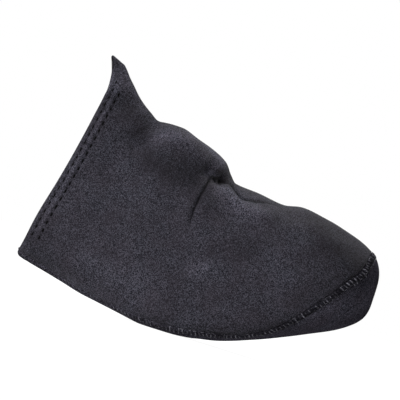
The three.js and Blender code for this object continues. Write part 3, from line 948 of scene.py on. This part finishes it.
def cut_foam(name):
    """Closed-cell chloroprene foam where it is cut: dull charcoal with tiny open cells."""
    material, tree = new_material(name)
    place = add(tree, "ShaderNodeTexCoord")
    cells = add(
        tree,
        "ShaderNodeTexVoronoi",
        {"Vector": place.outputs["Object"], "Scale": 1 / (CELLS * MM)},
    )
    colour = add(
        tree,
        "ShaderNodeMix",
        {"Factor": cells.outputs["Distance"], 6: linear("#1c1c1e"), 7: linear("#3d3d40")},
        data_type="RGBA",
    )
    bump = add(
        tree,
        "ShaderNodeBump",
        {"Height": cells.outputs["Distance"], "Strength": 0.7, "Distance": 0.2 * MM},
    )
    shader = add(
        tree,
        "ShaderNodeBsdfPrincipled",
        {"Base Color": colour.outputs[2], "Roughness": 0.92, "Normal": bump.outputs["Normal"]},
    )
    add(tree, "ShaderNodeOutputMaterial", {"Surface": shader.outputs["BSDF"]})
    return material


# the seam thread's pale dashes are painted highlights
seam_thread = spun_thread("spun_polyester_thread", "#060508", "#605f67", 0.6)
# the hem's thread is painted near black for the shade of the dimples it lies in
hem_thread = spun_thread("hem_thread_painted_shade", "#010101", "#060607", 0.9)
foam_edge = cut_foam("cut_neoprene_foam")
print("threads and foam:", seam_thread.name, hem_thread.name, foam_edge.name)

# First grid, second grid and wall of each piece. The hem's first grid faces the upper's inside.
upper_faces = [upper_jersey, lining_jersey, foam_edge]
sole_faces = [sole_jersey, lining_jersey, foam_edge]
hem_faces = [lining_jersey, upper_jersey, upper_jersey]

# %% [markdown]
# ## The upper
# One piece of cloth goes from the hem over instep and toe to the seam. An even grid would do for
# plain cloth, but not for stitches and creases. So its rows, which run across from seam to seam and
# bend with the seam at the front, lie closer together at the hem, for its stitched troughs, and round
# the dip, for its creases. At the hem the outer face rolls over in a quarter round, and the turned-in
# layer goes on from there.

# %% Rows of the upper
LIP = (WALL + GAP + HEM_WALL) / 2  # radius of the rolled edge
SEAM_EDGE = SEAM_WIDTH / 2 + 0.12  # where the cloth beside the seam's ridge ends
CORNER = SEAM_CORNER / (len(SEAM) - 1)
LIP_TURNS = np.linspace(np.pi / 2, 0, 8)
LIP_PINCH = 0.8  # share of the radius that is lost in the ear
LIP_PINCH_ANGLE = 0.3  # how far from the ear, in radians, it is
ROW_SPACINGS = ((0, 1.35), (55, 0.95), (80, 0.75), (108, 0.95), (125, 1.35))  # from where, and how far
HEM_SPACING = 0.55
HEM_ROWS_END = 12.0

corner_at, corner_angle = seam_line(np.array(CORNER), SEAM_EDGE)
side_share = np.linspace(0, CORNER, 3000)
side_at_known = np.maximum.accumulate(seam_line(side_share, SEAM_EDGE)[0])


def row_places():
    """Distances of the rows from the hem in millimetres. Each small step counts as its length over the
    spacing that its stretch asks for, and a row lies at each whole count of the running sum."""
    edge = float(corner_at) * LENGTH
    fine = np.linspace(LIP, edge, 4000)
    starts, spacings = np.array(ROW_SPACINGS).T
    spacing = spacings[np.searchsorted(starts, fine, side="left") - 1]
    spacing = np.where(fine < HEM_ROWS_END, HEM_SPACING, spacing)
    steps = np.concatenate([[0], np.cumsum(np.diff(fine) / spacing[1:])])
    return np.interp(np.linspace(0, steps[-1], int(steps[-1]) + 1), steps, fine)


def lip_radius(angle):
    """The roll's radius in millimetres: full all round, less pinch * exp(-(angle / reach)^2) of it
    about the ear's ridge."""
    from_ridge = np.pi - np.abs(angle)
    return LIP * (1 - LIP_PINCH * np.exp(-((from_ridge / LIP_PINCH_ANGLE) ** 2)))


# %% Grid of the upper
lip_at = LIP * (1 - np.sin(LIP_TURNS)) / LENGTH
row_at = np.concatenate([lip_at, row_places()[1:] / LENGTH])
UPPER_COLUMNS = 116  # on each side

front_share = np.linspace(CORNER, 1, 3000)
front_at_known, front_angle_known = seam_line(front_share, SEAM_EDGE)
column_angle = np.linspace(float(corner_angle), np.pi, UPPER_COLUMNS)
column_at = np.interp(column_angle, np.maximum.accumulate(front_angle_known), front_at_known)

row_share = np.interp(row_at, side_at_known, side_share)
row_angle = seam_line(row_share, SEAM_EDGE)[1]
spread = ((np.pi - row_angle) / (np.pi - float(corner_angle)))[:, None]
bend = ((row_at / float(corner_at)) ** ROW_BEND)[:, None]
left_angle = np.pi - (np.pi - column_angle) * spread
left_at = row_at[:, None] + (column_at - float(corner_at)) * bend
upper_angle = np.concatenate([-left_angle[:, :-1], left_angle[:, ::-1]], axis=1)
upper_at = np.concatenate([left_at[:, :-1], left_at[:, ::-1]], axis=1)
print(f"upper grid: {upper_at.shape[0]} rows, {upper_at.shape[1]} columns")


def rolled(at, angle):
    """The first rows turn over the edge: at = r (1 - sin turn), inset = r (1 - cos turn)."""
    radius = lip_radius(angle[: len(LIP_TURNS)])
    turn = LIP_TURNS[:, None]
    rolled_at = at.copy()
    inset = np.zeros_like(at)
    rolled_at[: len(LIP_TURNS)] = radius * (1 - np.sin(turn)) / LENGTH
    inset[: len(LIP_TURNS)] = radius * (1 - np.cos(turn))
    return rolled_at, inset


# %% Make the upper
upper_at, upper_inset = rolled(upper_at, upper_angle)
upper_outer = cloth(upper_at, upper_angle, upper_inset)
upper_inner = cloth(upper_at, upper_angle, np.maximum(upper_inset, WALL))
points, faces, group = shell(upper_outer, upper_inner)
places = np.tile(cloth_map(upper_at, upper_angle), (2, 1))
bright = painted_light_and_shade(upper_at, upper_angle)
upper = make_piece("upper_cloth", points, faces, upper_faces, group, places, bright)
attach(upper, "root")
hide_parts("upper")

# %% [markdown]
# ## The sole panel
# The sole panel runs under the foot and turns up round the front of the toe, where its last rows close
# into the tip. The opening for the pedal cleat is cut through it with a boolean, because a cutter does
# the same there, and the cut shows the foam between the two jerseys.

# %% Rows of the sole panel
SOLE_SIDE_ROWS = 150  # along the seam's side
SOLE_FRONT_ROWS = 60  # up its front
SOLE_COLUMNS = 96
NOSE_ROWS = 12  # from the seam's top into the tip

edge_share = np.concatenate(
    [np.linspace(0, CORNER, SOLE_SIDE_ROWS), np.linspace(CORNER, 1, SOLE_FRONT_ROWS + 1)[1:]]
)
edge_at, edge_angle = seam_line(edge_share, -SEAM_EDGE)
edge_at = np.maximum.accumulate(edge_at)
past_lip = edge_at * LENGTH > LIP
sole_row_at = np.concatenate([lip_at, edge_at[past_lip]])
lip_angle = np.interp(lip_at, edge_at, edge_angle)
sole_row_angle = np.concatenate([lip_angle, edge_angle[past_lip]])
nose_share = np.sin(np.linspace(0, np.pi / 2, NOSE_ROWS + 1)[1:])
nose_at = sole_row_at[-1] + (1 - sole_row_at[-1]) * nose_share
sole_row_at = np.concatenate([sole_row_at, nose_at])
sole_row_angle = np.concatenate([sole_row_angle, np.full(NOSE_ROWS, np.pi)])
print(f"sole grid: {len(sole_row_at)} rows, {SOLE_COLUMNS} columns")

# %% Make the sole panel
across_share = 1 - 2 * np.linspace(0, 1, SOLE_COLUMNS)
sole_angle = sole_row_angle[:, None] * across_share
sole_at, sole_inset = rolled(np.repeat(sole_row_at[:, None], SOLE_COLUMNS, axis=1), sole_angle)
sole_outer = cloth(sole_at, sole_angle, sole_inset)
sole_inner = cloth(sole_at, sole_angle, np.maximum(sole_inset, WALL))
points, faces, group = shell(sole_outer, sole_inner)
places = np.tile(cloth_map(sole_at, sole_angle), (2, 1))
bright = painted_light_and_shade(sole_at, sole_angle)
sole = make_piece("sole_cloth", points, faces, sole_faces, group, places, bright)


# %% Cut the cleat opening
def rounded_outline(length, width, radius, steps=12):
    """Four quarter rounds about the corners of the inner rectangle, joined by straight sides."""
    turn = np.linspace(0, np.pi / 2, steps)
    corners = []
    for quarter, (sx, sy) in enumerate(((1, 1), (-1, 1), (-1, -1), (1, -1))):
        middle = np.array([sx * (length / 2 - radius), sy * (width / 2 - radius)])
        angles = turn + quarter * np.pi / 2
        corners.append(middle + radius * np.stack([np.cos(angles), np.sin(angles)], axis=-1))
    return np.concatenate(corners)


CUT_START = -5.0  # the cutter's lower end, under the floor
outline = rounded_outline(CLEAT_LENGTH, CLEAT_WIDTH, CLEAT_CORNER)
outline = outline + (CLEAT_AT * LENGTH + SHIFT, 0)
count = len(outline)
low_ring = np.column_stack([outline, np.full(count, CUT_START)])
high_ring = np.column_stack([outline, np.full(count, TOE_RISE)])
around = np.arange(count)
after = np.roll(around, -1)
cutter_mesh = bpy.data.meshes.new("cleat_cutter")
cutter_sides = np.stack([around, after, after + count, around + count], axis=1).tolist()
cutter_caps = [around[::-1].tolist(), (around + count).tolist()]
cutter_points = (np.concatenate([low_ring, high_ring]) * MM).tolist()
cutter_mesh.from_pydata(cutter_points, [], cutter_sides + cutter_caps)
cutter_mesh.materials.append(foam_edge)
cutter = bpy.data.objects.new("cleat_cutter", cutter_mesh)
bpy.context.scene.collection.objects.link(cutter)
cut = sole.modifiers.new("cleat opening", "BOOLEAN")
cut.operation = "DIFFERENCE"
cut.solver = "EXACT"
cut.material_mode = "TRANSFER"
cut.object = cutter
bpy.context.view_layer.update()
done = bpy.data.meshes.new_from_object(sole.evaluated_get(bpy.context.evaluated_depsgraph_get()))
sole.modifiers.clear()
sole.data = done
done.name = "sole_cloth"
done.set_sharp_from_angle(angle=math.radians(SHARP))
bpy.data.objects.remove(cutter)
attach(sole, "root")
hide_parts("sole_panel")
kept = np.empty(len(done.vertices), dtype=np.float32)
done.attributes["painted_light_and_shade"].data.foreach_get("value", kept)
print(f"sole with its opening: {len(kept)} points, materials {[m.name for m in done.materials]}")
print(f"its nap runs from {kept.min():.2f} to {kept.max():.2f}")

# %% [markdown]
# ## The overlock seam
# The two edges are sewn together by an overlocker, which wraps them in thread, so the seam stands out
# as a narrow ridge crossed by short bars of thread. A texture would stay flat in the outline, so both
# are shapes. The ridge is a profile carried along the seam's line, lower at both sides than the cloth,
# which gives the dark grooves beside it. The bars are small round threads laid over it, one for each
# stitch.


# %% Places along the seam
def seam_run(along):
    """Both sides of the cover in one run: along from 0 at the left hem to 1 over the toe to 2 at the
    right hem. Returns the share of the seam's line and the side, 1 or -1."""
    side = np.where(along <= 1, 1.0, -1.0)
    return np.where(along <= 1, along, 2 - along), side


fine_run = np.linspace(0, 2, 6001)
fine_share, fine_side = seam_run(fine_run)
fine_at, fine_angle = seam_line(fine_share, 0.0)
fine_points = cloth(fine_at, fine_angle * fine_side)
fine_length = np.concatenate([[0], np.cumsum(np.linalg.norm(np.diff(fine_points, axis=0), axis=1))])
SEAM_LENGTH = fine_length[-1]
print(f"the seam is {SEAM_LENGTH:.0f} mm long")

RIDGE_STEP = 0.9
# Painted shade of the bars on the ridge between them, most of all round the toe: x, and its brightness
RIDGE_PAINTED_SHADE = ((-60, 8, 42, 80), (1.1, 0.65, 0.5, 0.4))
PROFILE = np.linspace(-1, 1, 13)
RIDGE_WIDTH = SEAM_WIDTH / 2 + 0.1  # half width
RIDGE_POWER = 2.6  # of its round top
RIDGE_SINK = 0.7  # how far its sides sink under the cloth
TOE_PRESS = 0.95  # share of its height that is lost on top of the toe
TOE_PRESS_REACH = 0.15  # share of one side's run
SQUARE_REACH = 6.0  # from the hem's roll, over which the profile turns square to the seam's run


def seam_rise(distance):
    """Height of the ridge: full along the sides, and a twentieth of it on top of the toe, where the
    cloth is pulled tight."""
    run = np.interp(distance, fine_length, fine_run)
    return SEAM_RISE * (1 - TOE_PRESS * ease(1 - np.abs(run - 1) / TOE_PRESS_REACH))


def seam_places(distance, aside, rise):
    """Places beside the seam at a distance along it in millimetres, rise above the cloth. At its two
    ends it rolls over the hem's edge, where the section stops and the turn takes over."""
    distance, aside, rise = np.broadcast_arrays(distance, aside * 1.0, rise * 1.0)
    run = np.interp(distance, fine_length, fine_run)
    share, side = seam_run(run)
    at, angle = seam_line(share, aside)
    middle_at = seam_at(share * (len(SEAM) - 1))
    square = ease((middle_at * LENGTH - LIP) / SQUARE_REACH)
    at = middle_at + (at - middle_at) * square
    turn = np.arcsin(np.clip(1 - middle_at * LENGTH / LIP, 0, 1))
    on_lip = middle_at * LENGTH < LIP
    at = np.where(on_lip, (LIP - (LIP + rise) * np.sin(turn)) / LENGTH, at)
    inset = np.where(on_lip, LIP - (LIP + rise) * np.cos(turn), -rise)
    return at, angle * side, inset


# %% Make the ridge
ridge_distance = np.linspace(0, SEAM_LENGTH, int(SEAM_LENGTH / RIDGE_STEP))[:, None]
pillow = seam_rise(ridge_distance) * (1 - np.abs(PROFILE) ** RIDGE_POWER)
pillow = pillow - RIDGE_SINK * np.abs(PROFILE) ** 8
ridge_at, ridge_angle, ridge_inset = seam_places(ridge_distance, PROFILE * RIDGE_WIDTH, pillow)
ridge_outer = cloth(ridge_at, ridge_angle, ridge_inset)
ridge_inner = cloth(np.maximum(ridge_at, 0), ridge_angle, np.maximum(ridge_inset, WALL))
points, faces, group = shell(ridge_outer[:, ::-1], ridge_inner[:, ::-1])
places = np.tile(cloth_map(ridge_at[:, ::-1], ridge_angle[:, ::-1]), (2, 1))
# painted shade on the ridge, read from its x
bright = np.interp(ridge_outer[:, ::-1, 0], *RIDGE_PAINTED_SHADE)
seam = make_piece("overlock_ridge", points, faces, sole_faces, group, places, bright)
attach(seam, "root")
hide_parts("overlock_seam")


# %% Threads
THREAD_SHARP = 80.0  # degrees, so that a six-sided thread is shaded round
SEAM_TAPER = 0.4  # power of a seam thread's taper, well below 1, so that it is thick nearly to its ends


def thread_mesh(paths, normals, radius, sides=6):
    """Many short threads at once. Round each path a ring of points: along the cloth's normal by
    cos, and along its cross product with the path's direction by sin, times the radius there. The
    radius is 0 at both ends, so that each thread is a closed spindle."""
    many, steps, _ = paths.shape
    tangent = unit(np.gradient(paths, axis=1))
    beside = unit(np.cross(tangent, normals))
    over = np.cross(beside, tangent)
    turn = np.arange(sides) * 2 * np.pi / sides
    ring = over[:, :, None, :] * np.cos(turn)[:, None] + beside[:, :, None, :] * np.sin(turn)[:, None]
    wide = radius[:, 1:-1, None, None]
    middle = paths[:, 1:-1, None, :] + ring[:, 1:-1] * wide
    points = np.concatenate([paths[:, :1], middle.reshape(many, -1, 3), paths[:, -1:]], axis=1)
    rings = steps - 2
    size = rings * sides + 2
    k = np.arange(sides)
    nxt = np.roll(k, -1)
    faces = [np.stack([np.zeros(sides, int), 1 + nxt, 1 + k], axis=1)]
    for i in range(rings - 1):
        a, b = 1 + i * sides + k, 1 + i * sides + nxt
        faces.append(np.stack([a, b, b + sides], axis=1))
        faces.append(np.stack([a, b + sides, a + sides], axis=1))
    last = 1 + (rings - 1) * sides
    faces.append(np.stack([last + k, last + nxt, np.full(sides, size - 1)], axis=1))
    one = np.concatenate(faces)
    faces = (one[None] + (np.arange(many) * size)[:, None, None]).reshape(-1, 3)
    return points.reshape(-1, 3), faces


def spindle(many, steps, power):
    """A thread's radius along it, as a share: sin^power, for each of many threads."""
    return np.repeat(np.sin(np.linspace(0, np.pi, steps))[None] ** power, many, axis=0)


# %% Where the bars lie
BAR_PITCH = 2.4  # from bar to bar, one for each stitch
BAR_STEPS = 9
BAR_RADII = (0.14, 0.42)  # thinnest and thickest
BAR_LIFT = 0.12  # how far a bar's middle line lies over the ridge
BAR_SINK = 0.6  # and how far its ends go down
BAR_SLANT = 1.6  # mean distance of a bar's two ends along the seam
BAR_SLANT_SPREAD = 0.45
BAR_JITTER = 0.25  # along the seam
SOLE_REACH = (0.85, 1.7)  # of a bar on the sole's side, least and most, in half widths of the ridge
UPPER_REACH = (0.65, 1.0)  # and on the upper's side
bar_count = int(SEAM_LENGTH / BAR_PITCH)
bar_across = np.linspace(-1, 1, BAR_STEPS)
bar_random = np.random.default_rng(11)
bar_middle = (np.arange(bar_count) + 0.5) * SEAM_LENGTH / bar_count
bar_middle = bar_middle + bar_random.normal(0, BAR_JITTER, bar_count)
bar_reach = np.where(
    bar_across < 0,
    bar_random.uniform(*SOLE_REACH, (bar_count, 1)),
    bar_random.uniform(*UPPER_REACH, (bar_count, 1)),
)
bar_lean = bar_random.normal(BAR_SLANT, BAR_SLANT_SPREAD, (bar_count, 1))
bar_thick = bar_random.uniform(*BAR_RADII, (bar_count, 1))
bar_distance = np.clip(bar_middle[:, None] + bar_across * bar_lean / 2, 0, SEAM_LENGTH)
bar_rise = seam_rise(bar_distance) * (1 - np.abs(bar_across) ** RIDGE_POWER)
bar_rise = bar_rise + BAR_LIFT - BAR_SINK * np.abs(bar_across) ** 6
bar_aside = bar_across * bar_reach * RIDGE_WIDTH
print(f"{bar_count} bars of thread across the seam")

# %% Bars and looper thread
# The looper thread joins the bars' ends in a chain along both edges
CHAIN_STEPS = 6
CHAIN_SHARE = 0.4  # of it shows, and the rest is buried
CHAIN_RADIUS = 0.2
CHAIN_LIFT = 0.1  # over the cloth
CHAIN_INSET = 0.25  # from the seam's edge
CHAIN_BOW = (0.1, 0.5)  # how far a link bows towards the seam's middle, least and most
chain_share = np.linspace(0, 1, CHAIN_STEPS)
chain_distance = bar_middle[:-1, None] + chain_share * np.diff(bar_middle)[:, None]
chain_bow = bar_random.uniform(*CHAIN_BOW, (bar_count - 1, 1)) * np.sin(np.pi * chain_share)
chain_rise = np.full_like(chain_bow, CHAIN_LIFT)
bar_radius = spindle(bar_count, BAR_STEPS, SEAM_TAPER) * bar_thick
thread_groups = [(bar_distance, bar_aside, bar_rise, bar_radius)]
for edge in (-1, 1):
    aside = edge * (SEAM_WIDTH / 2 - CHAIN_INSET - chain_bow)
    shown = bar_random.random(bar_count - 1) < CHAIN_SHARE
    chain_radius = CHAIN_RADIUS * spindle(bar_count - 1, CHAIN_STEPS, SEAM_TAPER)
    thread_groups.append([array[shown] for array in (chain_distance, aside, chain_rise, chain_radius)])

points, faces = [], []
for distance, aside, rise, radius in thread_groups:
    thread_at, thread_angle, thread_inset = seam_places(distance, aside, rise)
    paths = cloth(thread_at, thread_angle, thread_inset)
    thread_points, thread_faces = thread_mesh(paths, outward(thread_at, thread_angle), radius)
    faces.append(thread_faces + sum(len(p) for p in points))
    points.append(thread_points)
points, faces = np.concatenate(points), np.concatenate(faces)
bars = make_piece("overlock_bars", points, faces, [seam_thread], sharp=THREAD_SHARP)
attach(bars, "root")

# %% [markdown]
# ## The hem
# The collar's edge is turned in and held by two rows of stitches that sink into the soft foam. The
# turned-in layer is a ring of its own, which takes over from the upper at the middle of the roll and
# ends 9.5 mm down inside. It could be part of the upper's grid, but the solids have it apart. Each
# stitch is a short thread that lies low in its trough, painted near black for the shade there.

# %% The turned-in layer
HEM_COLUMNS = 220
HEM_SLIT = 0.15  # between the two layers
HEM_START = 0.12  # how far inside the roll's middle the ring starts
hem_angle = np.linspace(np.pi, -np.pi, HEM_COLUMNS + 1)
hem_turn = np.linspace(np.pi / 2, np.pi, 8)[1:]
leg = np.linspace(LIP, HEM_DEPTH, 8)[1:]
hem_radius = lip_radius(hem_angle)
start_at = np.zeros((1, HEM_COLUMNS + 1))
turn_at = hem_radius * (1 - np.sin(hem_turn))[:, None] / LENGTH
leg_at = np.repeat(leg[:, None] / LENGTH, HEM_COLUMNS + 1, axis=1)
turn_inset = hem_radius - (2 * LIP - hem_radius) * np.cos(hem_turn)[:, None]
hem_at = np.concatenate([start_at, turn_at, leg_at])
hem_inset = np.concatenate([hem_radius[None] + HEM_START, turn_inset, np.full(leg_at.shape, 2 * LIP)])
hem_inside = cloth(hem_at, hem_angle, hem_inset)
hem_outside = cloth(hem_at + HEM_SLIT / LENGTH, hem_angle, WALL + HEM_SLIT)
points, faces, group = shell(hem_outside, hem_inside)
places = np.tile(cloth_map(hem_at, np.broadcast_to(hem_angle, hem_at.shape)), (2, 1))
# painted shade along the rolled edge of the turned-in layer
lip_shade = 1 - EDGE_SHADE * np.exp(-((hem_at * LENGTH / EDGE_WIDTH) ** 2))
bright = np.stack([np.ones(hem_at.shape), lip_shade])
hem = make_piece("turned_in_hem", points, faces, hem_faces, group, places, bright)
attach(hem, "root")
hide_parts("collar_hem")

# %% Hem stitches
STITCH_LENGTH = 3.0  # of the thread that shows
STITCH_RADII = (0.45, 0.6, 0.5)  # outer row, inner row, and the inner row's threads inside the hem
STITCH_STEPS = 7
STITCH_SINK = 0.3  # how far a stitch's ends go down
STITCH_TAPER = 0.5  # power of its taper
INSIDE_LIFT = 0.35  # how far the threads inside stand out of the hem
stitch_steps = np.linspace(-1, 1, STITCH_STEPS)


def stitch_row(number, inset):
    """Threads along the collar, one at the middle of each dimple of a row, where the row shows. A
    thread's ends go down by sink * (share of its half length)^2. Returns paths and normals."""
    turns = ring_turns[number]
    middle = np.arange(math.ceil(turns[0]), math.ceil(turns[-1]))
    along = middle[:, None] + stitch_steps * STITCH_LENGTH / 2 / STITCH_PITCH
    whole = turns[-1] - turns[0]
    angle = np.interp((along - turns[0]) % whole + turns[0], turns, ring_angle)
    angle = angle[rows_show(angle[:, STITCH_STEPS // 2]) > 0.5]
    sunk = inset + STITCH_SINK * stitch_steps**2
    at = STITCH_ROWS[number] / LENGTH
    return cloth(at, angle, sunk), outward(at, angle)


rows = [stitch_row(0, 0.0), stitch_row(1, 0.0), stitch_row(1, 2 * LIP - INSIDE_LIFT)]
stitch_paths = np.concatenate([row[0] for row in rows])
stitch_normals = np.concatenate([row[1] for row in rows])
stitch_radius = np.concatenate(
    [
        radius * spindle(len(row[0]), STITCH_STEPS, STITCH_TAPER)
        for radius, row in zip(STITCH_RADII, rows)
    ]
)
points, faces = thread_mesh(stitch_paths, stitch_normals, stitch_radius)
stitches = make_piece("hem_stitches", points, faces, [hem_thread], sharp=THREAD_SHARP)
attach(stitches, "root")
print(f"hem stitches: {len(stitch_paths)}")

# %% [markdown]
# ## Camera, floor and light
# The photo was taken from the side, with the cover tilted toe down. Here the cover stands on its sole,
# and the camera is rolled by the same angle. A long lens keeps the side view nearly flat. The photo is
# white all round and has no shadow. Strong lamps on a plain floor would give that from one side only,
# so the floor glows like a light table. A soft light from the left and front models the cloth in the
# white room, and a weaker one from behind and above draws a thin pale rim.

# %% Camera
ROLL = math.radians(17.5)
AIM = Vector((-10.1, 0.0, 77.4)) * MM  # the place at the picture's middle
FIELD = 228 * MM  # width of the picture at the cover
LENS = 900.0
SENSOR = 36.0
distance = FIELD * LENS / SENSOR
camera_data = bpy.data.cameras.new("photo_camera")
camera_data.lens = LENS
camera_data.sensor_width = SENSOR
camera_data.dof.use_dof = False
camera = bpy.data.objects.new("photo_camera", camera_data)
turned = Matrix(
    (
        (math.cos(ROLL), -math.sin(ROLL), 0, AIM.x),
        (0, 0, -1, AIM.y - distance),
        (math.sin(ROLL), math.cos(ROLL), 0, AIM.z),
        (0, 0, 0, 1),
    )
)
camera.matrix_world = turned
bpy.context.scene.collection.objects.link(camera)
bpy.context.scene.camera = camera
print(f"camera {distance:.2f} m away")

# %% Floor
FLOOR = 4.0  # metres from its middle to its edge
PAPER_GRAIN = 4.0  # mm across a cloud of fibres
floor_mesh = bpy.data.meshes.new("floor")
corners = [(-FLOOR, -FLOOR, 0), (FLOOR, -FLOOR, 0), (FLOOR, FLOOR, 0), (-FLOOR, FLOOR, 0)]
floor_mesh.from_pydata(corners, [], [(0, 1, 2, 3)])
floor = bpy.data.objects.new("floor", floor_mesh)
bpy.context.scene.collection.objects.link(floor)
floor_material, floor_tree = new_material("white_paper")
paper_place = add(floor_tree, "ShaderNodeTexCoord")
paper_grain = add(
    floor_tree,
    "ShaderNodeTexNoise",
    {"Vector": paper_place.outputs["Object"], "Scale": 1 / (PAPER_GRAIN * MM)},
)
paper_colour = add(
    floor_tree,
    "ShaderNodeMix",
    {"Factor": paper_grain.outputs["Fac"], 6: linear("#5c5c5c"), 7: linear("#606060")},
    data_type="RGBA",
)
# White paper lit from under: it glows, so its own colour is only a mid grey, and it has no gloss
paper = add(
    floor_tree,
    "ShaderNodeBsdfPrincipled",
    {
        "Base Color": paper_colour.outputs[2],
        "Roughness": 0.9,
        "Specular IOR Level": 0.0,
        "Emission Color": linear("#ffffff"),
        "Emission Strength": 0.95,
    },
)
add(floor_tree, "ShaderNodeOutputMaterial", {"Surface": paper.outputs["BSDF"]})
floor_mesh.materials.append(floor_material)
print(f"floor {2 * FLOOR:.0f} m wide")

# %% Light
world = bpy.data.worlds.new("white_room")
world.use_nodes = True
world.node_tree.nodes.clear()
room = add(world.node_tree, "ShaderNodeBackground", {"Color": (1.0, 1.0, 1.0, 1.0), "Strength": 1.0})
add(world.node_tree, "ShaderNodeOutputWorld", {"Surface": room.outputs["Background"]})
bpy.context.scene.world = world


def soft_light(name, place, size, energy):
    """A square area light at a place in metres, turned to face the middle of the cover."""
    light = bpy.data.lights.new(name, "AREA")
    light.size = size
    light.energy = energy
    lamp = bpy.data.objects.new(name, light)
    lamp.location = place
    lamp.rotation_euler = (AIM - Vector(place)).to_track_quat("-Z", "Y").to_euler()
    bpy.context.scene.collection.objects.link(lamp)
    print(f"{name}: {energy} W, {size} m wide, at {place}")


soft_light("key_light", (-1.3, -1.1, 0.6), 0.7, 64)
soft_light("rim_light", (0.35, 0.8, 1.2), 0.6, 22)
bpy.context.scene.view_settings.view_transform = "Standard"
